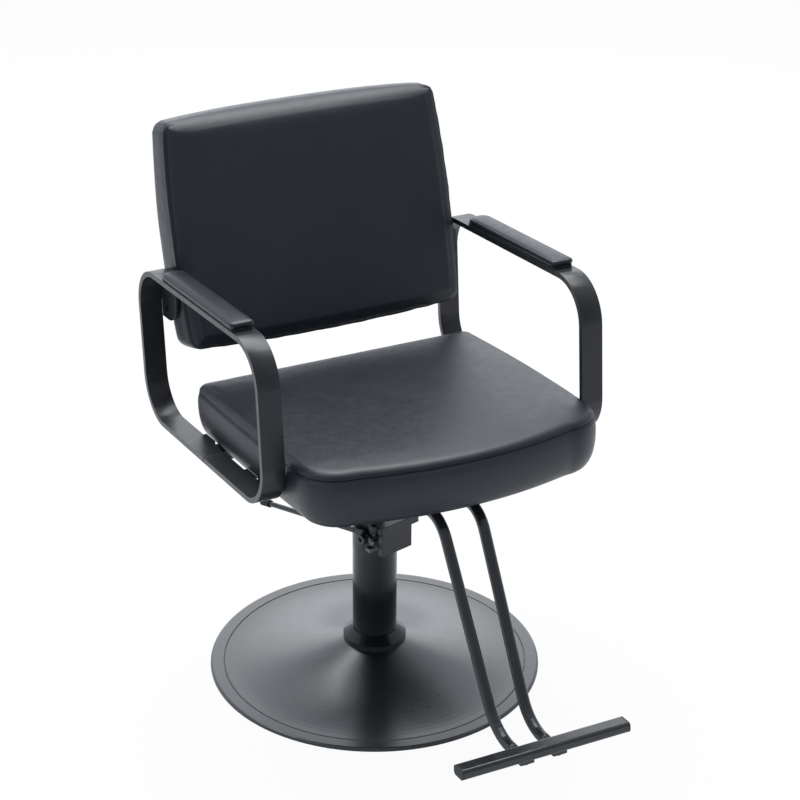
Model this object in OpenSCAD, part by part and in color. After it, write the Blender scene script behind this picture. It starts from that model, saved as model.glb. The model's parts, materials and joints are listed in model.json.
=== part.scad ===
// Hairdressing chair: hydraulic pump base, swivelling padded seat, flat bar arm loops and a footrest.
// Millimetres, +Z up, the chair faces -Y. The origin is the centre of the base disc on the floor.

/* [Base] */
// Diameter of the base disc
base_d = 600; // [560:5:640]
// Height of the flat outer ring above the floor
ring_h = 7; // [6.5:0.5:9]
// Height of the disc where it meets the column collar
dome_h = 48; // [40:1:60]
// Width of the flat outer ring, rim included
ring_w = 38; // [30:1:60]
// Radius of the rounded rim
rim_r = 4.5; // [3.5:0.5:6]
// Distance from the rim to the middle of the groove
groove_in = 25; // [20:1:35]
// Width of the groove
groove_w = 3; // [2:0.5:4]
// Depth of the groove
groove_deep = 1.2; // [0.8:0.1:1.6]
// Sheet thickness of the base cover
cover_t = 3; // [2:0.5:3.5]
// Width of the rubber floor ring
floor_ring_w = 14; // [8:1:18]
// Distance from the edge of the disc to the ballast plate
ballast_in = 150; // [140:5:190]
// Thickness of the ballast plate
ballast_t = 13; // [8:1:14]
// Height of the ballast plate above the floor
ballast_up = 3; // [2:0.5:4]

/* [Column] */
// Outer diameter of the column
column_d = 80; // [76:1:90]
// Wall of the column tube
column_wall = 4; // [3:0.5:5]
// Height of the joint between the column tube and its cap
column_top = 240; // [220:5:260]
// Height of the top of the column cap
cap_top = 292; // [290:1:294]
// Diameter of the collar around the column's foot
collar_d = 114; // [104:1:130]
// Height of the collar's straight side
collar_side = 11; // [6:1:14]
// Height of the collar's bevel
collar_bevel = 13; // [8:1:18]
// Diameter of the foot flange
foot_d = 124; // [118:1:134]
// Thickness of the foot flange
foot_t = 8; // [6:1:10]
// Bore of the pump cylinder
cylinder_bore = 42; // [40:1:46]
// Wall of the pump cylinder
cylinder_wall = 4; // [3:0.5:5]

/* [Ram] */
// Diameter of the ram
ram_d = 36; // [32:1:38]
// Travel of the seat below its photographed height
lift_down = 85; // [60:5:86]
// Travel of the seat above its photographed height
lift_up = 65; // [40:5:68]
// Height of the collar that carries the seat
ram_collar_z = 396; // [394:1:400]
// Diameter of the collar that carries the seat
ram_collar_d = 60; // [54:1:70]
// Thickness of the collar that carries the seat
ram_collar_t = 6; // [4:0.5:7]

/* [Pump head] */
// Angle that the pump head is turned about the column
head_turn = 15; // [0:1:30]
// Distance from the column axis to the head plate's right edge
head_plate_right = 55; // [44:1:60]
// Thickness of the head's top plate
head_plate_t = 12; // [9:0.5:13]
// Width of the folded cover in front of the head
cover_w = 69; // [66:1:76]
// Depth of the side lips of the folded cover
cover_lip = 12; // [8:1:13]
// Sheet thickness of the folded cover
cover_sheet = 2.5; // [2:0.5:3]
// Distance from the column axis to the cover's front face
cover_front = 60; // [58:1:62]
// Height of the cover's lower edge
cover_bottom = 251; // [246:1:262]
// Height of the cover's upper edge
cover_top = 309; // [306:1:311]

/* [Lever] */
// Length of the lever rod
lever_len = 290; // [250:2:296]
// Downward slope of the lever at rest
lever_slope = 10.8; // [8:0.2:13]
// Diameter of the lever rod
lever_d = 9.5; // [9:0.5:11]
// Height of the lever pivot
pivot_z = 278; // [276:0.5:278.5]
// Distance of the lever pivot in front of the column axis
pivot_front = 22; // [20:0.5:22.5]
// Diameter of the lever hub
hub_d = 20; // [17:0.5:20]
// Diameter of the pivot pin
pivot_pin_d = 8; // [6:0.5:9]
// Distance from the pivot to the plunger
plunger_arm = 15; // [14:0.5:15.5]
// Diameter of the plunger
plunger_d = 9; // [7:0.5:10]
// Length of the grip on the lever's end
pedal_len = 22; // [18:1:60]
// Diameter of the grip on the lever's end
pedal_d = 14; // [14:0.5:20]

/* [Seat frame] */
// Backward tilt of the seat frame
seat_tilt = 5.29; // [3:0.1:7]
// Height of the point that the frame tilts about
tilt_z = 450; // [448:1:452]
// Gap between the seat cushion and each arm loop
loop_clear = 3.4; // [2.6:0.2:12]
// Width of the flat bar of the arm loops
loop_bar_w = 40; // [34:1:44]
// Thickness of the flat bar of the arm loops
loop_bar_t = 9.4; // [8:0.2:10]
// Front face of the arm loops
loop_front = -244.6; // [-260:0.2:-236]
// Rear face of the arm loops
loop_rear = 284; // [280:1:300]
// Lower face of the arm loops
loop_low = 469.7; // [468:0.1:472]
// Upper face of the arm loops
loop_high = 755.6; // [745:0.2:780]
// Outer corner radius of the arm loops
loop_r = 78; // [60:1:84]
// Width of a cross bar
cross_w = 40; // [34:1:44]
// Height of a cross bar
cross_h = 16; // [14:1:18]
// Wall of a cross bar
cross_wall = 2.5; // [2:0.5:3]
// Upper face of the cross bars, under the seat
seat_low = 456; // [455:0.5:457]
// Middle of the front cross bar
cross_front_y = -86; // [-100:1:-78]
// Middle of the rear cross bar
cross_rear_y = 95; // [86:1:100]
// Thickness of the welded lugs at the ends of the cross bars
lug_t = 6; // [4:0.5:8]
// Side of the square mount plate
mount_w = 150; // [144:1:158]
// Thickness of the mount plate
mount_t = 8; // [6:0.5:9]
// Distance from the edge of the mount plate to the middle of its bolts
mount_bolt_in = 12; // [11:0.5:15]
// Diameter of the mount bolts
mount_bolt_d = 8; // [6:1:8]

/* [Seat] */
// Width of the seat cushion
seat_w = 544; // [500:2:570]
// Front of the seat cushion at its corners
seat_front = -349; // [-360:1:-335]
// How far the middle of the front edge bows forward
seat_bow = 30; // [10:1:36]
// Rear of the seat cushion
seat_rear = 159; // [154:1:168]
// Height of the top seam of the seat cushion
seat_seam = 547; // [540:0.5:552]
// Height of the top of the crown
seat_crown = 562; // [560:0.5:570]
// Corner radius at the front of the seat
seat_front_r = 76; // [60:1:84]
// Corner radius at the rear of the seat
seat_rear_r = 24; // [20:1:40]
// Thickness of the seat board
seat_board_t = 12; // [9:0.5:15]
// Distance from the seat board to the cushion's outline
seat_board_in = 36; // [32:1:44]

/* [Back] */
// Backward lean of the back against the seat frame
back_lean = 11; // [9:0.1:13]
// Depth position of the back's lower front edge
back_y = 172.6; // [168:0.2:176]
// Height of the back's lower front edge
back_z = 612.1; // [606:0.1:618]
// How much narrower the back cushion is than the seat, on each side, at its corners
back_in = 11.5; // [10.5:0.5:18]
// Height of the back cushion at its corners
back_h = 400; // [370:1:430]
// Depth of the back cushion's side panel
back_deep = 71.6; // [66:0.2:76]
// How far the edges of the back bow outwards
back_bow = 6.5; // [4:0.5:7]
// How far the front of the back swells forward
back_crown = 14; // [10:1:20]
// Corner radius at the bottom of the back
back_low_r = 36; // [24:1:50]
// Corner radius at the top of the back
back_high_r = 24; // [14:1:40]
// Thickness of the back board
back_board_t = 14; // [12:0.5:16]
// Distance from the back board to the cushion's outline
back_board_in = 16; // [14:1:30]
// Thickness of the bracket plates
bracket_t = 6; // [4:0.5:7]
// Front edge of the bracket plates
bracket_front = 203; // [200:1:212]
// Lower edge of the bracket plates
bracket_low = 651; // [645:1:654]
// Upper edge of the bracket plates
bracket_high = 735; // [728:1:742]
// Radius of the bracket plates' lower front corner
bracket_r = 44; // [30:1:50]
// Height of the lower bracket bolt along the back
bracket_bolt_up = 71.2; // [67:0.2:76]
// Distance between the bracket bolts along the back
bracket_bolt_pitch = 42; // [34:1:44]

/* [Arm pads] */
// Front end of the arm pads
pad_front = -152; // [-158:1:-120]
// Rear end of the arm pads
pad_rear = 160; // [140:1:180]
// Width of the arm pads
pad_w = 42; // [38:1:46]
// Thickness of the pad's base board
pad_base_t = 4; // [3:0.5:6]
// Height of the padding at its edge
pad_side = 9; // [6:0.5:12]
// Height of the padding's crown above its edge
pad_crown = 7; // [4:0.5:10]

/* [Footrest] */
// Outer diameter of the footrest tubes
rest_tube_d = 19.5; // [18:0.5:19.5]
// Wall of the footrest tubes
rest_wall = 1.8; // [1.2:0.2:2.4]
// Gap between each footrest tube and the wedge channel beside it, under the seat
rest_clear = 4.25; // [2:0.25:4.5]
// Where the upper bend starts
rest_bend_y = -281.5; // [-290:0.5:-275]
// Radius of the upper bend, to the tube's middle
rest_bend_r = 60; // [45:1:70]
// Slope of the long straight from the vertical
rest_slope = 29.4; // [26:0.2:32]
// Length of the long straight between the bends
rest_straight = 279; // [240:1:290]
// Radius of the lower bend, to the tube's middle
rest_toe_r = 80; // [60:1:90]
// Distance between the tubes at the foot bar
rest_low_pitch = 60; // [54:1:76]
// Sideways set of the foot bar
rest_shift = -6; // [-8:1:8]
// Length of the foot bar
foot_bar_len = 306; // [260:2:340]
// Depth of the foot bar
foot_bar_w = 30; // [26:1:36]
// Height of the foot bar
foot_bar_h = 18; // [14:1:22]
// Corner radius of the foot bar's section
foot_bar_r = 6; // [3:0.5:6.5]
// Wall of the foot bar
foot_bar_wall = 1.8; // [1.2:0.2:2.4]
// Thickness of the flattened ends of the tubes
toe_t = 8; // [6:0.5:9]
// Width of the flattened ends of the tubes
toe_w = 25; // [22:1:27]
// Length of the flattened ends of the tubes
toe_len = 36; // [30:1:44]
// Length of the round part between the lower bend and the flattened end
toe_start = 3; // [2:1:8]

/* [Hidden] */
$fn = 64;

// Colours
steel_black = [0.055, 0.058, 0.062];
gloss_black = [0.04, 0.041, 0.044];
bare_steel = [0.62, 0.63, 0.64];
bolt_black = [0.1, 0.1, 0.105];
bronze = [0.62, 0.46, 0.24];
rubber_black = [0.03, 0.03, 0.03];
vinyl_black = [0.045, 0.048, 0.055];
board_black = [0.045, 0.045, 0.047];
cap_black = [0.09, 0.09, 0.09];

// Clearances
over = 1;
fit_gap = 0.05;
run_gap = 0.06;
seal_gap = 0.04;
seat_gap = 0.3;
face_gap = 0.2;

// Base, worked out from the sizes above
base_r = base_d / 2;
ring_in_r = base_r - ring_w;
groove_r = base_r - groove_in;
collar_r = collar_d / 2;
column_r = column_d / 2;
cover_hole_r = column_r + fit_gap;
rim_low = 1;
dome_steps = 18;
dome_power_share = 1.7;
arc_steps = 6;
floor_ring_h = ring_h - cover_t;
ballast_d = base_d - 2 * ballast_in;
ballast_top = ballast_up + ballast_t;
foot_top = ballast_top + foot_t;
foot_bolt_d = 10;
foot_bolt_pcd = (column_d + foot_d) / 2;
foot_head_d = 16;
foot_head_h = 6;
foot_bolt_deep = 11;

// Column and ram
tube_in_r = column_r - column_wall;
cyl_r = cylinder_bore / 2;
spigot_h = 15;
spigot_low = column_top - spigot_h;
cyl_top = spigot_low - fit_gap;
ram_r = ram_d / 2;
bush_wall = 4;
bush_r = ram_r + run_gap + bush_wall;
bush_ledge = 5;
bush_low = spigot_low + bush_ledge;
wiper_h = 7;
wiper_wall = 6;
wiper_r = ram_r + wiper_wall;
bush_top = cap_top - wiper_h;
piston_gap = 2;
piston_low = foot_top + lift_down + piston_gap;
piston_top = spigot_low - lift_up - piston_gap;
piston_h = piston_top - piston_low;
piston_r = cyl_r - run_gap - seal_gap;
seal_deep = 1.6;
seal_h = 4;
seal_places = [0.3, 0.7];
washer_t = 2;
collar_seat_z = ram_collar_z + ram_collar_t;
mount_low = collar_seat_z + washer_t + face_gap;
mount_top = mount_low + mount_t;
socket_h = 24;
socket_wall = 7;
ram_short = 2;
ram_top = mount_top + socket_h - ram_short;

// Pump head, in a frame turned with it, where -Y points to its front
head_plate_over = 4;
head_plate_rear = column_r + head_plate_over;
head_plate_front = cover_front - cover_sheet;
head_plate_top = cap_top + head_plate_t;
head_hole_gap = 1;
head_corner_r = 4;
head_screw_d = 6;
head_screw_side = 26;
head_screw_rear = 20;
head_screw_deep = 16;
head_head_d = 10;
head_head_h = 3;
lever_gap = 0.6;
lever_side = column_r + lever_gap + lever_d / 2;
lever_rise = 11.3;
arm_t = 4;
arm_w = 10;
arm_right = column_r + lever_gap;
hub_long = 9;
hub_left = arm_right + arm_t + hub_long;
pin_recess = 4;
pin_deep = 10;
pin_end = sqrt(column_r * column_r - pivot_front * pivot_front) - pin_deep;
arm_pin_d = 6;
arm_head_d = 9;
arm_head_t = 2;
arm_pin_rise = 3;
arm_pin_y = pivot_front + plunger_arm;
arm_pin_z = pivot_z + arm_pin_rise;
pin_swing = 1.1;
plunger_y = arm_pin_y - pin_swing;
plunger_top = cap_top + plunger_d;
yoke_w = 12;
yoke_deep = 11.4;
yoke_gap = 0.6;
plunger_side = yoke_w / 2
    + sqrt(pow(column_r + yoke_gap, 2) - pow(plunger_y - yoke_deep / 2, 2));
yoke_roof = 1.5;
yoke_drop = 23;
yoke_foot_w = 21;
yoke_foot_h = 7;
pin_slack = 0.6;
slot_h = arm_pin_d + 2 * pin_slack;
slot_back = 4.6;
yoke_low = arm_pin_z - yoke_drop;
yoke_top = arm_pin_z + slot_h / 2 + yoke_roof;
barrel_up = 2;
barrel_wall = 4.5;
lever_start = [-lever_side, -pivot_front, pivot_z + lever_rise];
lever_dir = [0, cos(lever_slope), -sin(lever_slope)];
lever_end = lever_start + lever_len * lever_dir;
pedal_start = lever_end - pedal_len * lever_dir;
pedal_over = 4;
pedal_round = 3;

// Seat frame
loops_w = seat_w + 2 * (loop_clear + loop_bar_w);
back_w = seat_w - 2 * back_in;
loop_in = loops_w / 2 - loop_bar_w;
loop_mid = loops_w / 2 - loop_bar_w / 2;
cross_low = seat_low - cross_h;
lug_top = loop_low + loop_bar_t;
channel_t = 6;
channel_flange = 24;
head_gap = 0.5;
channel_front = cross_front_y - cross_w / 2;
channel_rear = cross_rear_y + cross_w / 2;
mount_head_d = 13;
mount_head_h = 5;
mount_bolt_pitch = mount_w - 2 * mount_bolt_in;
channel_x = mount_bolt_pitch / 2 - mount_head_d / 2 - channel_t - head_gap;
mount_nut_h = 6;
mount_corner_r = 10;
seat_bolt_d = 8;
seat_bolt_x = 150;
seat_bolt_head_d = 15;
seat_bolt_head_h = 4;
hole_gap = 0.3;

// Cushions are stacks of rings. A profile row is the distance in from the outline, then the height.
side_steps = 8;
corner_steps = 5;
seat_edge_in = 31;
seat_profile_shares = [[1, 0], [0.6, 0.05], [0.36, 0.14], [0.18, 0.3], [0.06, 0.48], [0, 0.66],
    [0.02, 0.85], [0.14, 0.97], [0.17, 1], [0.14, 1.03], [0.17, 1.08], [0.42, 1.12]];
crown_shares = [0.97, 0.92, 0.84, 0.72, 0.57, 0.4, 0.22, 0.08];
crown_power_share = 2.6;
back_edge_in = 4;
back_profile_shares = [[1, 0], [0.2, 0.06], [0, 0.3], [0, 0.7], [0.2, 0.94], [0.8, 1]];
pad_edge_in = 2.5;
pad_profile_shares = [[0.8, 0], [0, 0.25], [0, 0.8], [0.6, 1]];
pad_crown_shares = [0.94, 0.84, 0.68, 0.45, 0.2];
pad_front_r = 7;
pad_rear_r = 18;
pad_base_in = 2;
pad_screw_d = 5;
pad_screw_y_share = 0.64;
pad_head_d = 9;
pad_head_h = 3;
board_corner_r = 24;

// Back brackets
bracket_in = loop_in - bracket_t;
bracket_bolt_d = 6;
bracket_head_d = 10;
bracket_head_h = 3;
bracket_bolt_in = 34;
spacer_d = 18;
spacer_gap = 0.4;

// Footrest, worked out along the tube's middle line in the seat frame
rest_pitch = 2 * (channel_x - rest_clear) - rest_tube_d;
rest_z = cross_low - rest_tube_d / 2 - seat_gap;
rest_rear_in = 10;
rest_rear_y = cross_rear_y + cross_w / 2 - rest_rear_in;
rest_turn = 90 - rest_slope;
rest_top_y = rest_bend_y - rest_bend_r * sin(rest_turn);
rest_top_z = rest_z - rest_bend_r * (1 - cos(rest_turn));
rest_low_y = rest_top_y - rest_straight * sin(rest_slope);
rest_low_z = rest_top_z - rest_straight * cos(rest_slope);
toe_y = rest_low_y - rest_toe_r * sin(rest_turn);
toe_z = rest_low_z - rest_toe_r * (1 - cos(rest_turn));
toe_blend = 14;
toe_flat_y = toe_y - toe_start - toe_blend;
rest_sides = 32;
bend_steps = 8;
foot_bar_z = toe_z + toe_t / 2 + foot_bar_h / 2;
toe_back = 8;
foot_bar_y = toe_flat_y - toe_len + foot_bar_w / 2 - toe_back;
foot_cap_t = 3;
foot_plug = 12;
foot_screw_d = 5;
foot_screw_head_d = 9;
foot_screw_head_h = 2.5;

// Frames

module seat_frame() {
    translate([0, 0, tilt_z])
        rotate([-seat_tilt, 0, 0])
            translate([0, 0, -tilt_z])
                children();
}

module back_frame() {
    seat_frame()
        translate([0, back_y, back_z])
            rotate([-back_lean, 0, 0])
                children();
}

module head_frame() {
    rotate([0, 0, head_turn])
        children();
}

// Shared shapes

module tube(outer, inner, low, high) {
    translate([0, 0, low])
        difference() {
            cylinder(h = high - low, r = outer);
            translate([0, 0, -over])
                cylinder(h = high - low + 2 * over, r = inner);
        }
}

module along_x(from, to) {
    translate([from, 0, 0])
        rotate([90, 0, 90])
            linear_extrude(height = to - from)
                children();
}

module pin_x(from, to, d) {
    translate([from, 0, 0])
        rotate([0, 90, 0])
            cylinder(h = to - from, d = d);
}

module rounded_rect(low, high, r) {
    translate([low[0] + r, low[1]])
        square([high[0] - low[0] - 2 * r, high[1] - low[1]]);
    translate([low[0], low[1] + r])
        square([high[0] - low[0], high[1] - low[1] - 2 * r]);
    for (x = [low[0] + r, high[0] - r], y = [low[1] + r, high[1] - r])
        translate([x, y])
            circle(r = r);
}

module rod_between(a, b, d) {
    v = b - a;
    flat = norm([v[0], v[1]]);
    translate(a)
        rotate([0, atan2(flat, v[2]), atan2(v[1], v[0])])
            cylinder(h = norm(v), d = d);
}

// One ring of a cushion: half width a, ends y0 and y1, corner radii and how far each side bows out.
function side_pts(from, to, bow, out) = [for (i = [0 : side_steps - 1])
    let (t = i / side_steps, s = 2 * t - 1)
        from + t * (to - from) + bow * (1 - s * s) * out];
function corner_pts(c, r, start) = [for (i = [0 : corner_steps - 1])
    c + r * [cos(start + 90 * i / corner_steps), sin(start + 90 * i / corner_steps)]];
function outline(a, y0, y1, r0, r1, bows) = concat(
    side_pts([a, y0 + r0], [a, y1 - r1], bows[0], [1, 0]),
    corner_pts([a - r1, y1 - r1], r1, 0),
    side_pts([a - r1, y1], [r1 - a, y1], bows[1], [0, 1]),
    corner_pts([r1 - a, y1 - r1], r1, 90),
    side_pts([-a, y1 - r1], [-a, y0 + r0], bows[0], [-1, 0]),
    corner_pts([r0 - a, y0 + r0], r0, 180),
    side_pts([r0 - a, y0], [a - r0, y0], bows[2], [0, -1]),
    corner_pts([a - r0, y0 + r0], r0, 270));
function lift(pts, z) = [for (p = pts) [p[0], p[1], z]];
function swell(share) = 1 - pow(min(1, abs(share)), crown_power_share);
function crowned(pts, mid, half, s, low, rise) = [for (p = pts)
    let (x = s * p[0], y = s * (p[1] - mid))
        [x, mid + y, low + rise * swell(x / half[0]) * swell(y / half[1])]];

// A closed solid through a list of rings, with a flat fan at each end.
module ring_stack(rings) {
    n = len(rings[0]);
    m = len(rings);
    mean = function (ring) [for (k = [0 : 2]) [for (p = ring) p[k]] * [for (p = ring) 1] / n];
    pts = concat([for (ring = rings) each ring], [mean(rings[0])], [mean(rings[m - 1])]);
    faces = concat(
        [for (j = [0 : m - 2], i = [0 : n - 1])
            [j * n + i, (j + 1) * n + i, (j + 1) * n + (i + 1) % n]],
        [for (j = [0 : m - 2], i = [0 : n - 1])
            [j * n + i, (j + 1) * n + (i + 1) % n, j * n + (i + 1) % n]],
        [for (i = [0 : n - 1]) [m * n, i, (i + 1) % n]],
        [for (i = [0 : n - 1]) [m * n + 1, (m - 1) * n + (i + 1) % n, (m - 1) * n + i]]);
    polyhedron(points = pts, faces = faces);
}

// Base

function dome_z(r) =
    ring_h + (dome_h - ring_h) * pow((ring_in_r - r) / (ring_in_r - collar_r), dome_power_share);

module floor_ring() {
    color(rubber_black)
        tube(base_r - rim_r, base_r - rim_r - floor_ring_w, 0, floor_ring_h);
}

module base_cover() {
    outer = concat(
        [[cover_hole_r, dome_h]],
        [for (i = [0 : dome_steps])
            let (r = collar_r + (ring_in_r - collar_r) * i / dome_steps) [r, dome_z(r)]],
        [[groove_r - groove_w / 2, ring_h], [groove_r, ring_h - groove_deep],
            [groove_r + groove_w / 2, ring_h]],
        [for (i = [0 : arc_steps])
            let (a = 90 - 90 * i / arc_steps)
                [base_r - rim_r + rim_r * cos(a), ring_h - rim_r + rim_r * sin(a)]],
        [[base_r, rim_low]]);
    inner = concat(
        [[base_r - cover_t, rim_low], [base_r - cover_t, floor_ring_h]],
        [for (i = [dome_steps : -1 : 0])
            let (r = collar_r + (ring_in_r - collar_r) * i / dome_steps) [r, dome_z(r) - cover_t]],
        [[cover_hole_r, dome_h - cover_t]]);
    color(steel_black)
        rotate_extrude($fn = 128)
            polygon(concat(outer, inner));
}

module foot_bolt_ring() {
    for (i = [0 : 3])
        rotate([0, 0, 45 + 90 * i])
            translate([foot_bolt_pcd / 2, 0, 0])
                children();
}

module ballast_plate() {
    color(steel_black)
        difference() {
            translate([0, 0, ballast_up])
                cylinder(h = ballast_t, d = ballast_d, $fn = 128);
            foot_bolt_ring()
                translate([0, 0, ballast_up - over])
                    cylinder(h = ballast_t + 2 * over, d = foot_bolt_d + 2 * fit_gap);
        }
}

module column_foot() {
    color(bare_steel)
        difference() {
            translate([0, 0, ballast_top])
                cylinder(h = foot_t, d = foot_d);
            foot_bolt_ring()
                translate([0, 0, ballast_top - over])
                    cylinder(h = foot_t + 2 * over, d = foot_bolt_d + 2 * hole_gap);
        }
}

module foot_bolts() {
    color(bolt_black)
        foot_bolt_ring() {
            translate([0, 0, foot_top - foot_t - foot_bolt_deep])
                cylinder(h = foot_t + foot_bolt_deep + over, d = foot_bolt_d);
            translate([0, 0, foot_top])
                cylinder(h = foot_head_h, d = foot_head_d, $fn = 6);
        }
}

module column_collar() {
    low = dome_h;
    side = low + collar_side;
    color(gloss_black)
        rotate_extrude()
            polygon([[cover_hole_r, low], [collar_r, low], [collar_r, side],
                [column_r + over, side + collar_bevel], [cover_hole_r, side + collar_bevel]]);
}

module column_tube() {
    color(gloss_black)
        tube(column_r, tube_in_r, foot_top, column_top);
}

module pump_cylinder() {
    color(bare_steel)
        tube(cyl_r + cylinder_wall, cyl_r, foot_top, cyl_top);
}

module column_cap() {
    color(steel_black)
        difference() {
            union() {
                translate([0, 0, column_top])
                    cylinder(h = cap_top - column_top, r = column_r);
                translate([0, 0, spigot_low])
                    cylinder(h = spigot_h + over, r = tube_in_r - fit_gap);
            }
            translate([0, 0, bush_low])
                cylinder(h = cap_top - bush_low + over, r = bush_r + fit_gap);
            translate([0, 0, spigot_low - over])
                cylinder(h = cap_top - spigot_low, r = ram_r + hole_gap);
            translate([0, 0, bush_top])
                cylinder(h = wiper_h + over, r = wiper_r + fit_gap);
            head_frame()
                translate([0, -pivot_front, pivot_z])
                    pin_x(-column_r - over, -pin_end, pivot_pin_d + 2 * fit_gap);
            head_screw_places()
                translate([0, 0, cap_top - head_screw_deep])
                    cylinder(h = head_screw_deep + over, d = head_screw_d + 2 * fit_gap);
        }
}

module guide_bush() {
    color(bronze)
        tube(bush_r, ram_r + run_gap, bush_low, bush_top - fit_gap);
}

module ram_wiper() {
    color(rubber_black)
        tube(wiper_r, ram_r + seal_gap, bush_top, cap_top - fit_gap);
}

// Pump head

module head_screw_places() {
    head_frame()
        for (x = [-head_screw_side, head_screw_side])
            translate([x, head_screw_rear, 0])
                children();
}

module head_plate() {
    color(steel_black)
        difference() {
            head_frame() {
                translate([0, 0, cap_top])
                    linear_extrude(height = head_plate_t)
                        rounded_rect([-cover_w / 2, -head_plate_front], [head_plate_right, head_plate_rear],
                            head_corner_r);
                translate([-plunger_side, -plunger_y, cap_top])
                    cylinder(h = head_plate_t + barrel_up, d = plunger_d + 2 * barrel_wall);
            }
            translate([0, 0, cap_top - over])
                cylinder(h = head_plate_t + 2 * over, r = ram_r + head_hole_gap);
            head_frame()
                translate([-plunger_side, -plunger_y, cap_top - over])
                    cylinder(h = head_plate_t + barrel_up + 2 * over, d = plunger_d + 2 * run_gap);
            head_screw_places()
                translate([0, 0, cap_top - over])
                    cylinder(h = head_plate_t + 2 * over, d = head_screw_d + 2 * hole_gap);
        }
}

module head_cover() {
    color(steel_black)
        head_frame()
            translate([0, 0, cover_bottom]) {
                translate([-cover_w / 2, -cover_front, 0])
                    cube([cover_w, cover_sheet, cover_top - cover_bottom]);
                for (x = [-cover_w / 2, cover_w / 2 - cover_sheet])
                    translate([x, -cover_front, 0])
                        cube([cover_sheet, cover_lip, cap_top - cover_bottom]);
            }
}

module head_screws() {
    color(bolt_black)
        head_screw_places() {
            translate([0, 0, cap_top - head_screw_deep + over])
                cylinder(h = head_screw_deep + head_plate_t, d = head_screw_d);
            translate([0, 0, head_plate_top])
                cylinder(h = head_head_h, d = head_head_d);
        }
}

module pivot_pin() {
    color(bare_steel)
        head_frame()
            translate([0, -pivot_front, pivot_z])
                pin_x(pin_recess - hub_left, -pin_end - fit_gap, pivot_pin_d);
}

// Lever and plunger

module lever_hub() {
    color(steel_black)
        head_frame()
            translate([0, -pivot_front, pivot_z])
                difference() {
                    pin_x(-hub_left, -arm_right - arm_t, hub_d);
                    pin_x(-hub_left - over, -arm_right, pivot_pin_d + 2 * run_gap);
                }
}

module lever_rod() {
    color(steel_black)
        head_frame()
            difference() {
                rod_between(lever_start, lever_end, lever_d);
                translate([0, -pivot_front, pivot_z])
                    pin_x(-hub_left, over - arm_right, hub_d);
            }
}

module pedal_grip() {
    color(rubber_black)
        head_frame()
            difference() {
                union() {
                    rod_between(pedal_start, lever_end + (pedal_over - pedal_round) * lever_dir, pedal_d);
                    rod_between(pedal_start, lever_end + pedal_over * lever_dir, pedal_d - 2 * pedal_round);
                }
                rod_between(pedal_start - over * lever_dir, lever_end + fit_gap * lever_dir,
                    lever_d + 2 * fit_gap);
            }
}

module lever_arm() {
    color(bare_steel)
        head_frame()
            difference() {
                union() {
                    hull() {
                        translate([0, -pivot_front, pivot_z])
                            pin_x(-arm_right - arm_t, -arm_right, hub_d);
                        translate([0, -arm_pin_y, arm_pin_z])
                            pin_x(-arm_right - arm_t, -arm_right, arm_w);
                    }
                    translate([0, -arm_pin_y, arm_pin_z]) {
                        pin_x(-arm_right - over, -plunger_side + yoke_w / 2, arm_pin_d);
                        pin_x(-arm_right - arm_t - arm_head_t, -arm_right - arm_t + over / 2, arm_head_d);
                    }
                }
                translate([0, -pivot_front, pivot_z])
                    pin_x(-arm_right - arm_t - over, -arm_right + over, pivot_pin_d + 2 * run_gap);
            }
}

module pump_plunger() {
    color(bare_steel)
        head_frame()
            translate([-plunger_side, -plunger_y, 0])
                difference() {
                    union() {
                        translate([0, 0, yoke_low])
                            cylinder(h = plunger_top - yoke_low, d = plunger_d);
                        translate([-yoke_w / 2, -yoke_deep / 2, yoke_low])
                            cube([yoke_w, yoke_deep, yoke_top - yoke_low]);
                        translate([yoke_w / 2 - yoke_foot_w, -yoke_deep / 2, yoke_low])
                            cube([yoke_foot_w, yoke_deep, yoke_foot_h]);
                    }
                    translate([-yoke_w, slot_back - yoke_deep - over, arm_pin_z - slot_h / 2])
                        cube([2 * yoke_w, yoke_deep + over, slot_h]);
                }
}

// Ram

module ram_rod() {
    color(bare_steel)
        translate([0, 0, piston_top])
            cylinder(h = ram_top - piston_top, r = ram_r);
}

module ram_piston() {
    color(bare_steel)
        difference() {
            translate([0, 0, piston_low])
                cylinder(h = piston_h, r = piston_r);
            for (share = seal_places)
                tube(piston_r + over, piston_r - seal_deep,
                    piston_low + share * piston_h - seal_h / 2, piston_low + share * piston_h + seal_h / 2);
        }
}

module piston_seals() {
    color(rubber_black)
        for (share = seal_places)
            tube(piston_r + seal_gap, piston_r - seal_deep + fit_gap,
                piston_low + share * piston_h - seal_h / 2 + fit_gap,
                piston_low + share * piston_h + seal_h / 2 - fit_gap);
}

module ram_collar() {
    color(bare_steel)
        tube(ram_collar_d / 2, ram_r + fit_gap, ram_collar_z, collar_seat_z);
}

module thrust_washer() {
    color(bronze)
        tube(ram_collar_d / 2 - over, ram_r + hole_gap, collar_seat_z, collar_seat_z + washer_t);
}

// Seat mount

module swivel_socket() {
    color(steel_black)
        tube(ram_r + socket_wall, ram_r + run_gap, mount_top, mount_top + socket_h);
}

module mount_bolt_places() {
    for (x = [-1, 1], y = [-1, 1])
        translate([x * mount_bolt_pitch / 2, y * mount_bolt_pitch / 2, 0])
            children();
}

module mount_plate() {
    color(steel_black)
        difference() {
            translate([0, 0, mount_low])
                linear_extrude(height = mount_t)
                    rounded_rect([-mount_w / 2, -mount_w / 2], [mount_w / 2, mount_w / 2], mount_corner_r);
            translate([0, 0, mount_low - over])
                cylinder(h = mount_t + 2 * over, r = ram_r + run_gap);
            mount_bolt_places()
                translate([0, 0, mount_low - over])
                    cylinder(h = mount_t + 2 * over, d = mount_bolt_d + 2 * hole_gap);
        }
}

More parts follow.
